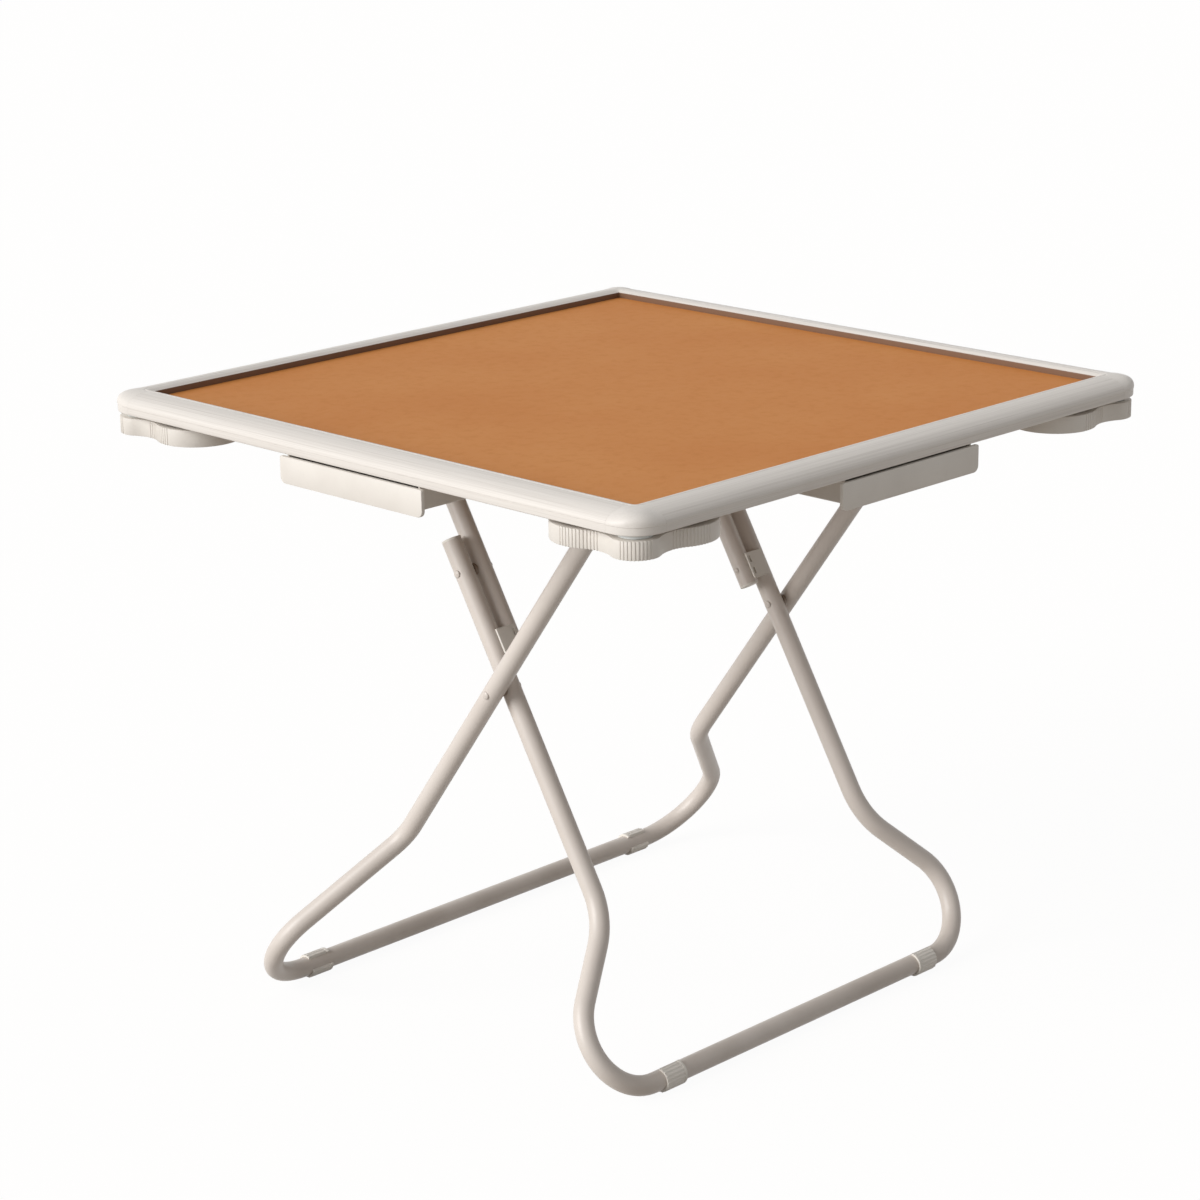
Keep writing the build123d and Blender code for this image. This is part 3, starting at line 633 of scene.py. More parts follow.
def circle(radius: float, height: float, steps: int) -> list[Vector]:
    """Points of a level circle about the local Z axis, at a height."""
    turns = [2 * math.pi * i / steps for i in range(steps)]
    return [Vector((radius * math.cos(t), radius * math.sin(t), height)) for t in turns]


def flat(x: float, y: float) -> Vector:
    """A point of a level outline."""
    return Vector((x, y, 0))


def on_circle(centre: Vector, radius: float, angle: float) -> Vector:
    """The point of a level circle at an angle in degrees."""
    turn = math.radians(angle)
    return centre + flat(math.cos(turn), math.sin(turn)) * radius


def arc(centre: Vector, radius: float, start: float, end: float, steps: int) -> list[Vector]:
    """Points of a level arc between two angles in degrees, both ends included."""
    angles = [start + (end - start) * i / steps for i in range(steps + 1)]
    return [on_circle(centre, radius, angle) for angle in angles]


def quarter_angles(steps: int) -> list[float]:
    """Angles from 0 to a quarter turn, in radians."""
    return [math.radians(90 * k / steps) for k in range(steps + 1)]


def inset(outline: Sequence[Vector], depth: float) -> list[Vector]:
    """Moves a closed outline inward by a small depth.

    Args:
        outline: Points in counterclockwise order, in a level plane.
        depth: The distance inward.

    Returns:
        The moved points.
    """
    moved = []
    for i, point in enumerate(outline):
        before = (point - outline[i - 1]).normalized()
        after = (outline[(i + 1) % len(outline)] - point).normalized()
        inward = flat(-before.y - after.y, before.x + after.x)
        moved.append(point + inward.normalized() * depth)
    return moved


def raised(outline: Iterable[Vector], height: float) -> list[Vector]:
    """The outline at another height."""
    return [Vector((point.x, point.y, height)) for point in outline]


def rounded_box(width: float, depth: float, radii: Sequence[float], steps: int) -> list[Vector]:
    """Outline of a rectangle about the origin with rounded corners.

    Args:
        width: Size along X.
        depth: Size along Y.
        radii: Corner radii from the lower left, counterclockwise.
        steps: Spans of each corner.

    Returns:
        The outline, counterclockwise.
    """
    points = []
    for number, ((sx, sy), radius) in enumerate(zip(QUADRANTS, radii)):
        centre = flat(sx * (width / 2 - radius), sy * (depth / 2 - radius))
        start = 180 + 90 * number
        points += arc(centre, radius, start, start + 90, steps)
    return points


def frame_of(origin: Sequence[float], x: Sequence[float], z: Sequence[float]) -> Matrix:
    """A local frame from its origin, X direction and Z direction.

    Args:
        origin: Origin in millimetres.
        x: Direction of local X.
        z: Direction of local Z.

    Returns:
        The frame.
    """
    along = Vector(x).normalized()
    up = Vector(z).normalized()
    across = up.cross(along)
    turn = Matrix((along, across, up)).transposed().to_4x4()
    return Matrix.Translation(Vector(origin)) @ turn


def quarter(turns: int) -> Matrix:
    """A turn about the table's middle by quarter turns."""
    return Matrix.Rotation(math.radians(90 * turns), 4, "Z")


def bent_path(points: Sequence[Vector], radii: Sequence[float]) -> list[Vector]:
    """Rounds the inner corners of an open run of points.

    Args:
        points: Corners of the run.
        radii: Bend radius at each inner corner.

    Returns:
        Points along the rounded run.
    """
    path = [points[0]]
    for before, corner, after, radius in zip(points, points[1:], points[2:], radii):
        back = (before - corner).normalized()
        ahead = (after - corner).normalized()
        turn = math.pi - back.angle(ahead)
        reach = radius * math.tan(turn / 2)
        middle = (back + ahead).normalized()
        centre = corner + middle * (radius / math.cos(turn / 2))
        start = corner + back * reach - centre
        axis = start.cross(corner + ahead * reach - centre).normalized()
        count = max(2, math.ceil(math.degrees(turn) / BEND_STEP))
        for i in range(count + 1):
            path.append(centre + Matrix.Rotation(turn * i / count, 3, axis) @ start)
    return [*path, points[-1]]


def tube_rows(
    path: Sequence[Vector], radius: float, normal: Vector, loop: bool
) -> list[list[Vector]]:
    """Rings of a round tube along a flat path.

    Args:
        path: Points of the tube's middle line.
        radius: The tube's radius.
        normal: Normal of the plane that the path lies in.
        loop: Whether the path closes on itself.

    Returns:
        One ring of points for each path point.
    """
    rows = []
    count = len(path)
    turns = [2 * math.pi * k / TUBE_FACETS for k in range(TUBE_FACETS)]
    for i, point in enumerate(path):
        before = path[i - 1] if loop or i else point
        after = path[(i + 1) % count] if loop or i < count - 1 else point
        across = (after - before).normalized().cross(normal)
        rows.append([point + (across * math.cos(t) + normal * math.sin(t)) * radius for t in turns])
    return rows


def mirrored(points: Sequence[Vector]) -> list[Vector]:
    """The points on the other side of the table, in the opposite order."""
    return [Vector((-p.x, p.y, p.z)) for p in reversed(points)]


@dataclass
class Rim:
    """The pale rim: four rails and four corner caps round the field."""

    height: float = 755.0
    width: float = 43.0
    depth: float = 24.6
    slot_drop: float = 12.5
    board: float = 9.0
    slot: float = 16.0
    wall: float = 2.0
    lip_round: float = 1.2
    lip_end: float = 112.0
    lip_drop: float = 2.6
    crown: float = 9.0
    crown_steps: int = 8
    groove: float = 11.0
    groove_radius: float = 1.4
    groove_depth: float = 0.5
    groove_turn: tuple[float, float, int] = (220.0, 312.0, 7)
    nose: float = 15.2
    nose_steps: int = 40
    band: float = 0.5
    low_round: float = 1.5
    corner: float = 43.5
    cap_reach: float = 44.5
    cap_puff: float = 0.05
    cap_steps: int = 18
    seam: float = 0.15
    web_thickness: float = 2.8
    web_reach: float = 80.0
    web_round: float = 20.0
    web_gap: float = 0.3
    web_spans: int = 8
    crease: float = 25.0

    def section(self, fullness: float = 0.0) -> list[Vector]:
        """Outline of the rim's section.

        Args:
            fullness: How far the nose swells, from 0 on a rail to 1 at a cap's middle.

        Returns:
            Points with x outward from the field and y up from the top.
        """
        band_x = self.width - self.band
        slot_low = -self.slot_drop - self.board
        lip = flat(self.lip_round, -self.lip_drop - self.lip_round)
        points = [flat(0, -self.slot_drop)]
        points += arc(lip, self.lip_round, 180, self.lip_end, ROUND_SPANS)
        for k in range(self.crown_steps):
            share = k / self.crown_steps
            x = self.lip_round + (self.crown - self.lip_round) * share
            points.append(flat(x, self.lip_drop * (math.sin(math.pi / 2 * share) - 1)))
        points += [*self._nose(fullness), flat(band_x, -self.nose - self.band)]
        low = flat(band_x - self.low_round, self.low_round - self.depth)
        points += arc(low, self.low_round, 0, -90, ROUND_SPANS)
        spots = (
            (self.slot, -self.depth),
            (self.slot, slot_low - self.wall),
            (0, slot_low - self.wall),
            (0, slot_low),
            (self.slot, slot_low),
            (self.slot, -self.slot_drop),
        )
        return points + [flat(x, y) for x, y in spots]

    def _swell(self, x: float, fullness: float) -> float:
        """Height that a fuller nose gains at one place.

        Args:
            x: Place outward from the field.
            fullness: 0 for a quarter ellipse and up to 1 for a squarer one.

        Returns:
            The height gained.
        """
        share = min(max((x - self.crown) / (self.width - self.crown), 0.0), 1.0)
        power = 2 + fullness
        return self.nose * ((1 - share**power) ** (1 / power) - math.sqrt(1 - share**2))

    def _nose(self, fullness: float) -> list[Vector]:
        """Crowned nose of the section with a round groove in it.

        Args:
            fullness: How far the nose swells.

        Returns:
            The points, from the crown outward.
        """
        across = self.width - self.crown
        share = math.acos((self.groove - self.crown) / across)
        seat = self.nose * math.sin(share) - self.nose
        middle = flat(self.groove, seat + self.groove_radius - self.groove_depth)
        points = []
        for k in range(self.nose_steps + 1):
            turn = math.pi / 2 * (1 - k / self.nose_steps)
            x = math.cos(turn) * across + self.crown
            point = flat(x, self.nose * (math.sin(turn) - 1))
            if (point - middle).length > self.groove_radius:
                points.append(point)
        after = 1 + max(i for i, point in enumerate(points) if point.x < self.groove)
        points[after:after] = arc(middle, self.groove_radius, *self.groove_turn)
        return [flat(p.x, p.y + self._swell(p.x, fullness)) for p in points]

    def build_rails(self) -> None:
        """Makes the four rails between the corner caps."""
        half = TABLE_HALF - self.cap_reach - self.seam
        local = frame_of((0, self.width - TABLE_HALF, self.height), (0, -1, 0), (-1, 0, 0))
        for turns, name in enumerate(SIDES):
            form = Form().at(quarter(turns) @ local)
            form.stack([raised(self.section(), z) for z in (-half, half)])
            run = Run.ALONG_Y if turns % 2 else Run.ALONG_X
            form.piece(tag_of("rim_rail_" + name, "rim", "table"), RimFinish(run), self.crease)

    def build_caps(self) -> None:
        """Makes the four corner caps with the webs that carry the tray pivots."""
        bend = self.corner - TABLE_HALF
        ends = self.cap_reach - self.corner
        turns = [90 * k / self.cap_steps for k in range(self.cap_steps + 1)]
        places = [(0.0, ends), *((angle, 0.0) for angle in turns), (90.0, -ends)]
        for number, name in enumerate(("front_left", "front_right", "rear_right", "rear_left")):
            rows = []
            for angle, shift in places:
                turn = math.radians(angle)
                out = flat(-math.sin(turn), -math.cos(turn))
                along = flat(math.cos(turn), -math.sin(turn)) * shift
                start = Vector((bend, bend, self.height)) + along + out * (self.corner - self.width)
                fullness = math.sin(2 * turn) ** 2
                wide = 1 + self.cap_puff * fullness
                section = self.section(fullness)
                rows.append([start + out * p.x * wide + Vector((0, 0, p.y)) for p in section])
            form = Form().at(quarter(number))
            form.stack(rows)
            self._add_web(form)
            tag = tag_of("corner_cap_" + name, "cap", "table")
            form.piece(tag, RimFinish(Run.ROUND), self.crease)

    def _add_web(self, form: Form) -> None:
        """Adds the flat web across the underside of one cap.

        Args:
            form: The cap's form, in the front left corner's frame.
        """
        outer = TABLE_HALF - self.width + self.slot - self.seam
        inner = TABLE_HALF - self.web_reach
        under = TABLE_HALF - self.width - self.web_gap
        beside = TABLE_HALF - self.cap_reach + self.seam
        spots = [(outer, outer), (beside, outer), (beside, under), (inner, under)]
        bend = -inner - self.web_round
        outline = [flat(-x, -y) for x, y in spots]
        outline += arc(flat(bend, bend), self.web_round, 0, 90, self.web_spans)
        outline += [flat(-y, -x) for x, y in reversed(spots[1:])]
        place = flat(PIVOT_INSET - TABLE_HALF, PIVOT_INSET - TABLE_HALF)
        hole = [point + place for point in circle(PIVOT_BORE, 0, BORE_FACETS)]
        low = self.height - self.depth
        levels = (low, low + self.web_thickness)
        walls = form.stack([raised(outline, z) for z in levels], False)
        bores = form.stack([raised(hole, z) for z in levels], False)
        for wall, bore in zip(walls, bores):
            form.cap(wall, bore)


@dataclass
class PlayingField:
    """The tan sheet that the rim's lip holds down, and the board under it."""

    reach: float = 398.7
    corner: float = 0.5
    top: float = 745.0
    thickness: float = 2.5
    spans: int = 3

    def build(self) -> None:
        """Makes the sheet and dresses the board."""
        outline = rounded_box(2 * self.reach, 2 * self.reach, (self.corner,) * 4, self.spans)
        form = Form()
        form.stack([raised(outline, z) for z in (self.top - self.thickness, self.top)])
        form.piece(Tag("playing_sheet", "top_sheet", "table", "playing_surface"), SHEET)
        dress("top_board", BOARD)


@dataclass
class CupTray:
    """A swing-out tray: two cup wells and a pivot lobe, with fluted sides."""

    top: float = 724.5
    thickness: float = 20.5
    pivot_lobe: float = 27.0
    cup_lobe: float = 51.0
    cup_reach: float = 82.0
    spread: float = 28.5
    waist: float = 45.0
    span: float = 6.0
    well: float = 37.0
    well_depth: float = 16.0
    well_round: float = 3.0
    well_edge: float = 0.8
    well_soft: float = 0.25
    edge: float = 0.6
    edge_soft: float = 0.3
    flute: float = 1.2
    flute_depth: float = 1.0
    flute_pitch: float = 4.2
    flute_clear: float = 0.2
    flute_steps: int = 4
    pivot_flutes: int = 9
    cup_flutes: int = 7
    waist_flutes: int = 5
    recess: float = 9.6
    recess_depth: float = 5.0
    disc: float = 19.0
    disc_gap: float = 0.3
    disc_edge: float = 0.6
    rim_bottom: float = 730.4
    web: float = 2.8
    screw: float = 4.0
    screw_head: tuple[float, float, float] = (9.0, 3.4, 5.0)
    crease: float = 30.0

    def frame(self, corner: str) -> Matrix:
        """Local frame of a tray: origin on its pivot, X towards the table's middle.

        Args:
            corner: Name of the tray's corner.

        Returns:
            The frame, at the height of the tray's top.
        """
        sign_x = 1 if corner.endswith("right") else -1
        sign_y = 1 if corner.startswith("rear") else -1
        place = TABLE_HALF - PIVOT_INSET
        origin = (sign_x * place, sign_y * place, self.top)
        return frame_of(origin, (-sign_x, -sign_y, 0), (0, 0, 1))

    def grooves(self, radius: float, start: float, count: int) -> list[float]:
        """Angles of grooves a pitch apart, falling from half a pitch past a start in degrees."""
        step = math.degrees(self.flute_pitch / radius)
        return [start - (number + 0.5) * step for number in range(count)]

    def fluted(
        self,
        centre: Vector,
        radius: float,
        ends: tuple[float, float],
        grooves: Sequence[float],
        bulge: int = 1,
    ) -> list[Vector]:
        """Points of an arc of the outline with round grooves.

        Args:
            centre: Centre of the arc.
            radius: Radius of the arc.
            ends: First and last angle in degrees.
            grooves: Angles of the grooves.
            bulge: 1 on a lobe and -1 on the hollow waist.

        Returns:
            The points, from the first angle to the last.
        """
        start, end = ends
        low, high = sorted(ends)
        reach = radius + bulge * (self.flute - self.flute_depth)
        cosine = (radius**2 + reach**2 - self.flute**2) / (2 * radius * reach)
        half = math.degrees(math.acos(cosine))
        spans = max(2, round((high - low) / self.span))
        angles = {start + (end - start) * k / spans: radius for k in range(spans + 1)}
        angles |= {start: radius, end: radius}
        for groove in grooves:
            if not low - half < groove < high + half:
                continue
            for angle in [a for a in angles if abs(a - groove) < half + self.flute_clear]:
                angles.pop(angle)
            for k in range(-self.flute_steps, self.flute_steps + 1):
                shift = half * k / self.flute_steps
                turn = math.radians(shift)
                under = max(self.flute**2 - (reach * math.sin(turn)) ** 2, 0)
                angles[groove + shift] = reach * math.cos(turn) - bulge * math.sqrt(under)
        kept = [a for a in sorted(angles, reverse=end < start) if low <= a <= high]
        return [on_circle(centre, angles[angle], angle) for angle in kept]

    def outline(self) -> list[Vector]:
        """Outline of the whole tray in the local frame, counterclockwise.

        Returns:
            The points, from the notch between the cups round to it again.
        """
        cup = on_circle(ORIGIN, self.cup_reach, self.spread)
        along = cup.normalized()
        near = self.pivot_lobe + self.waist
        far = self.cup_lobe + self.waist
        reach = (near**2 - far**2 + self.cup_reach**2) / (2 * self.cup_reach)
        middle = along * reach + flat(-along.y, along.x) * math.sqrt(near**2 - reach**2)
        near_angle = math.degrees(math.atan2(middle.y, middle.x))
        to_waist = middle - cup
        far_angle = math.degrees(math.atan2(to_waist.y, to_waist.x))
        notch = -math.degrees(math.asin(cup.y / self.cup_lobe))
        cuts = self.grooves(self.cup_lobe, far_angle, self.cup_flutes)
        half = self.fluted(cup, self.cup_lobe, (notch, far_angle), cuts)
        ends = (far_angle - 180, near_angle - 180)
        cuts = self.grooves(self.waist, ends[0], self.waist_flutes)
        half += self.fluted(middle, self.waist, ends, cuts, -1)[1:-1]
        run = math.degrees(self.flute_pitch / self.pivot_lobe) * self.pivot_flutes / 2
        cuts = self.grooves(self.pivot_lobe, 180 + run, self.pivot_flutes)
        half += self.fluted(ORIGIN, self.pivot_lobe, (near_angle, 180), cuts)
        return half + [flat(p.x, -p.y) for p in reversed(half[1:-1])]

    def build(self, corner: str) -> None:
        """Makes the tray of one corner.

        Args:
            corner: Name of the corner.
        """
        form = Form().at(self.frame(corner))
        outline = self.outline()
        low = -self.thickness
        step = low + self.recess_depth
        soft = self.edge * self.edge_soft
        levels = [(self.edge, low), (soft, low + soft), (0.0, low + self.edge)]
        levels += [(0.0, -self.edge), (soft, -soft), (self.edge, 0.0)]
        walls = form.stack([raised(inset(outline, d), z) for d, z in levels], False)
        bore = form.stack([circle(PIVOT_BORE, z, BORE_FACETS) for z in (0, step)], False)
        recess = form.stack([circle(self.recess, z, HEAD_FACETS) for z in (step, low)], False)
        form.cap(recess[0], bore[1])
        form.cap(walls[0], recess[1])
        form.cap(walls[-1], bore[0], *(self._add_well(form, way) for way in WAYS))
        tag = tag_of("cup_tray_" + corner, "tray", "tray_" + corner + "_body")
        form.piece(tag, TRAY_PLASTIC, self.crease)

    def _add_well(self, form: Form, way: int) -> Ring:
        """Adds one cup well.

        Args:
            form: The tray's form.
            way: 1 for the upper lobe and -1 for the lower one.

        Returns:
            The ring at the well's mouth.
        """
        centre = on_circle(ORIGIN, self.cup_reach, way * self.spread)
        rows = [
            (self.well + self.well_edge, 0.0),
            (self.well + self.well_soft, -self.well_soft),
            (self.well, -self.well_edge),
        ]
        for turn in quarter_angles(EDGE_SPANS):
            radius = self.well - self.well_round * (1 - math.cos(turn))
            rows.append((radius, -self.well_depth + self.well_round * (1 - math.sin(turn))))
        rings = [[p + centre for p in circle(r, z, WELL_FACETS)] for r, z in rows]
        walls = form.stack(rings, False)
        form.cap(walls[-1])
        return walls[0]

    def build_pivots(self) -> None:
        """Makes the discs over the trays and the screws that they turn on."""
        discs, screws = Form(), Form()
        low, high = self.disc_gap, self.rim_bottom - self.top
        inner = self.disc - self.disc_edge
        profile = [
            (PIVOT_BORE, low),
            (inner, low),
            (self.disc, low + self.disc_edge),
            (self.disc, high - self.disc_edge),
            (inner, high),
            (PIVOT_BORE, high),
            (PIVOT_BORE, low),
        ]
        seat = self.recess_depth - self.thickness - self.disc_gap
        top = high + self.web - seat
        for corner in CORNERS:
            discs.at(self.frame(corner)).lathe(profile, WELL_FACETS)
            head = self.frame(corner) @ Matrix.Translation((0, 0, seat))
            screws.at(head).lathe([(self.screw, 0), (self.screw, top), (0, top)], TUBE_FACETS)
            add_cross_head(screws, head @ UPSIDE_DOWN, *self.screw_head)
        discs.piece(Tag("tray_discs", "spacer", "table", "tray_spacers"), DISC_PLASTIC)
        screws.piece(Tag("tray_screws", "screw", "table", "tray_pivot_screws"), ZINC)


def add_cross_head(form: Form, place: Matrix, radius: float, height: float, cross: float) -> None:
    """Adds a screw head with a cross recess.

    Args:
        form: The form that gets the head.
        place: Frame with its origin under the head and Z out of the screw.
        radius: Radius of the head.
        height: Height of the head.
        cross: Reach of the recess from the middle.
    """
    bar = cross * CROSS_BAR
    spots = [(cross, -bar), (cross, bar), (bar, bar), (bar, cross), (-bar, cross), (-bar, bar)]
    outline = [flat(x * way, y * way) for way in WAYS for x, y in spots]
    rows = [circle(radius * across, height * up, HEAD_FACETS) for across, up in HEAD_SHARES]
    walls = form.at(place).stack(rows, False)
    floor = raised([point * CROSS_TAPER for point in outline], height * CROSS_FLOOR)
    recess = form.stack([raised(outline, height), floor], False)
    form.cap(walls[0])
    form.cap(walls[-1], recess[0])
    form.cap(recess[1])


def add_dome(form: Form, place: Matrix, radius: float, height: float) -> None:
    """Adds a domed rivet head whose foot is at a frame's origin, with Z outward."""
    turns = quarter_angles(DOME_SPANS)
    dome = [(radius * math.cos(turn), height * math.sin(turn)) for turn in turns]
    form.at(place).lathe([(0.0, 0.0), *dome], HEAD_FACETS)


@dataclass
class Drawer:
    """A moulded drawer and the housing that it slides in."""

    width: float = 237.0
    top: float = 727.4
    front_height: float = 31.8
    front_thickness: float = 4.5
    front_inset: float = 0.5
    low_round: float = 8.0
    top_round: float = 2.0
    front_spans: int = 8
    edge: float = 0.8
    edge_soft: float = 0.3
    depth: float = 128.0
    height: float = 22.0
    corner: float = 6.0
    front_corner: float = 0.5
    wall: float = 2.0
    lip: float = 0.3
    floor_round: float = 1.5
    floor_soft: tuple[float, float] = (0.5, 0.4)
    side_gap: float = 11.0
    floor: float = 704.1
    crease: float = 30.0

    def build(self, name: str, turns: int) -> None:
        """Makes one drawer.

        Args:
            name: Side of the table.
            turns: Quarter turns from the front side.
        """
        radii = (self.low_round, self.low_round, self.top_round, self.top_round)
        plate = rounded_box(self.width, self.front_height, radii, self.front_spans)
        face_y = self.front_inset - TABLE_HALF
        origin = (0, face_y, self.top - self.front_height / 2)
        form = Form().at(quarter(turns) @ frame_of(origin, (1, 0, 0), (0, -1, 0)))
        soft = self.edge * self.edge_soft
        levels = ((0.0, -self.front_thickness), (0.0, -self.edge), (soft, -soft), (self.edge, 0.0))
        form.stack([raised(inset(plate, d), z) for d, z in levels])
        box_y = face_y + self.front_thickness + self.depth / 2
        form.at(quarter(turns) @ Matrix.Translation((0, box_y, self.floor)))
        box = (self.width - 2 * self.side_gap, self.depth)
        sharp, room = self.front_corner, self.corner - self.wall
        room_box = [size - 2 * self.wall for size in box]
        outer = rounded_box(*box, (sharp, sharp, self.corner, self.corner), EDGE_SPANS)
        inner = rounded_box(*room_box, (sharp, sharp, room, room), EDGE_SPANS)
        aside, above = self.floor_soft
        rows = (
            (outer, 0),
            (outer, self.height - self.lip),
            (inset(outer, self.lip), self.height),
            (inset(inner, -self.lip), self.height),
            (inner, self.height - self.lip),
            (inner, self.wall + self.floor_round),
            (inset(inner, aside), self.wall + above),
            (inset(inner, self.floor_round), self.wall),
        )
        form.stack([raised(row, z) for row, z in rows])
        node = "drawer_" + name
        form.piece(tag_of(node, "drawer", node + "_body"), DRAWER_PLASTIC, self.crease)
        dress("drawer_housing_" + name, HOUSING_PLASTIC)


def dress(node: str, finish: Finish) -> None:
    """Gives a CAD node its finish.

    Args:
        node: Name of the node.
        finish: The finish.
    """
    piece = frame["nodes"][node]
    if not piece.material_slots:
        piece.data.materials.append(finish.material())
    for slot in piece.material_slots:
        slot.material = finish.material()
    log.info("%s: dressed in %s", node, finish.material().name)


class Layer(Enum):
    """The three tube frames, by their place across the table."""

    REAR = 260.6
    FRONT = 231.9
    UPPER = 203.2


@dataclass
class Legs:
    """The crossed tube frames, their rivets, plugs and clips."""

    tube: float = 12.0
    crossing: Place = (0, -31.9, 433.3)
    upper_hinge: Place = (0, 128.3, 705.0)
    rear_hinge: Place = (0, -231.7, 705.0)
    bar_z: float = 14.5
    front_knee_share: float = 0.597
    rear_knee_share: float = 0.52
    front_flare: float = 179.0
    rear_flare: float = 213.0
    front_bends: tuple[float, float] = (69.0, 93.0)
    rear_bends: tuple[float, float, float] = (76.0, 58.0, 42.0)
    upper_bend: float = 42.0
    front_stub: float = 40.0
    upper_tail: float = 114.0
    rivet: float = 3.0
    head: float = 4.8
    head_height: float = 2.0
    stud_sink: float = 0.6
    seat: float = 0.1
    open_gap: float = 0.3
    spacer: float = 7.5
    spacer_edge: float = 0.4
    spacer_play: float = 0.05
    plug_inside: float = 2.0
    plug_wall: float = 1.5
    plug_round: float = 1.0
    plug_rim: float = 3.0
    plug_dish: float = 3.6
    plug_sink: float = 0.3
    clip_start: float = 77.0
    clip_length: float = 33.0
    clip_wall: float = 2.6
    clip_grip: float = 0.1
    clip_cradle: float = 0.3
    clip_round: float = 2.0
    clip_tip: float = 1.0
    clip_edge: float = 0.3
    clip_spans: tuple[int, int, int] = (14, 4, 20)
    clip_slot: tuple[float, float] = (2.6, 5.6)
    clip_slot_depth: float = 2.5
    clip_slot_least: float = 0.02
    clip_slots: tuple[tuple[float, float], ...] = ((4.5, 13.0), (20.0, 28.5))
    clip_screw: float = 2.0
    clip_screw_length: float = 25.0
    clip_screw_head: tuple[float, float] = (3.6, 1.8)
    foot_length: float = 33.0
    foot_radius: float = 15.0
    foot_play: float = 0.05
    foot_edge: float = 0.35
    foot_spans: tuple[int, int] = (44, 36)
    foot_rib: float = 0.6
    foot_pitch: float = 18.0
    foot_crest: float = 0.14
    foot_root: float = 0.32
    foot_bead: float = 4.0
    front_foot: float = 229.0
    front_lift: float = 35.0
    front_mouth: float = 110.0
    rear_foot: float = 288.0
    rear_lift: float = 28.0
    rear_mouth: float = 66.0
    crease: float = 30.0

    def __post_init__(self) -> None:
        """Works out the directions and distances of the frames."""
        self.middle = Vector(self.crossing)
        front = self.middle - Vector(self.upper_hinge)
        rear = self.middle - Vector(self.rear_hinge)
        self.front_down = front.normalized()
        self.rear_down = rear.normalized()
        self.upper_reach = front.length
        self.rear_reach = rear.length
        fall = self.middle.z - self.bar_z
        self.front_bar = -fall / self.front_down.z
        self.rear_bar = -fall / self.rear_down.z
        spread = (Vector(self.upper_hinge) - Vector(self.rear_hinge)).length
        self.link_reach = self.upper_reach - (self.upper_reach + spread - self.rear_reach) / 2

    def point(self, down: Vector, distance: float, x: float) -> Vector:
        """The place at a distance below the crossing, along down, and at x across the table."""
        place = self.middle + down * distance
        return Vector((x, place.y, place.z))

    def across(self, down: Vector, distance: float, x: float, way: int) -> Matrix:
        """A frame at a place on a tube, with Z across the table, to the right if way is 1."""
        return frame_of(self.point(down, distance, x), (0, 1, 0), (way, 0, 0))

    def _add_tube(
        self, tag: Tag, down: Vector, spots: Sequence[tuple[float, float]], bends: Sequence[float]
    ) -> None:
        """Makes a bent tube from its right half, closed where that ends at the middle.

        Args:
            tag: The piece's name, slot, body and CAD node.
            down: The tube's direction down from the crossing.
            spots: Corners from the middle outward: distance below the crossing, and x.
            bends: Bend radii at the inner corners.
        """
        half = bent_path([self.point(down, distance, x) for distance, x in spots], bends)
        normal = Vector((1, 0, 0)).cross(down)
        form = Form()
        if spots[-1][1]:
            form.stack(tube_rows(mirrored(half[1:]) + half, self.tube, normal, False))
        else:
            path = half + mirrored(half[1:-1])
            rings = form.stack(tube_rows(path, self.tube, normal, True), False)
            form.bridge(rings[-1], rings[0])
        form.piece(tag, TUBE_COAT)

    def build_rear(self) -> None:
        """Makes the closed rear frame with its rivets and spacers."""
        side = Layer.REAR.value
        spots = (
            (self.rear_bar, 0),
            (self.rear_bar, side + self.rear_flare),
            (self.rear_bar * self.rear_knee_share, side),
            (-self.rear_reach, side),
            (-self.rear_reach, 0),
        )
        body = "rear_legs"
        tag = Tag("rear_tube_frame", "tube", body, "rear_leg_frame")
        self._add_tube(tag, self.rear_down, spots, self.rear_bends)
        grip = self.tube + self.seat
        ends = (Layer.FRONT.value - grip, side + grip)
        tag = Tag("crossing_rivet_pair", "rivet", body, "crossing_rivets")
        self._add_rivets(tag, 0, ends, (True, True))
        ends = (Layer.FRONT.value + grip, side - grip)
        self._add_spacers(Tag("crossing_rings", "spacer", body, "crossing_spacers"), 0, ends)

    def build_front(self) -> None:
        """Makes the front frame with its plugs, rivets and spacers."""
        side = Layer.FRONT.value
        level = -self.link_reach
        top = level - self.front_stub
        spots = (
            (self.front_bar, 0),
            (self.front_bar, side + self.front_flare),
            (self.front_bar * self.front_knee_share, side),
            (top, side),
        )
        body = "front_legs"
        tag = Tag("front_tube_frame", "tube", body, "front_leg_frame")
        self._add_tube(tag, self.front_down, spots, self.front_bends)
        self._add_plugs(Tag("front_tube_plugs", "plug", body, "front_frame_plugs"), top, side, -1)
        inner = Layer.UPPER.value + self.tube + self.open_gap
        grip = self.tube + self.seat
        tag = Tag("link_rivet_pair", "rivet", body, "link_rivets")
        self._add_rivets(tag, level, (inner, side + grip), (False, True))
        tag = Tag("link_rings", "spacer", body, "link_spacers")
        self._add_spacers(tag, level, (inner, side - grip))

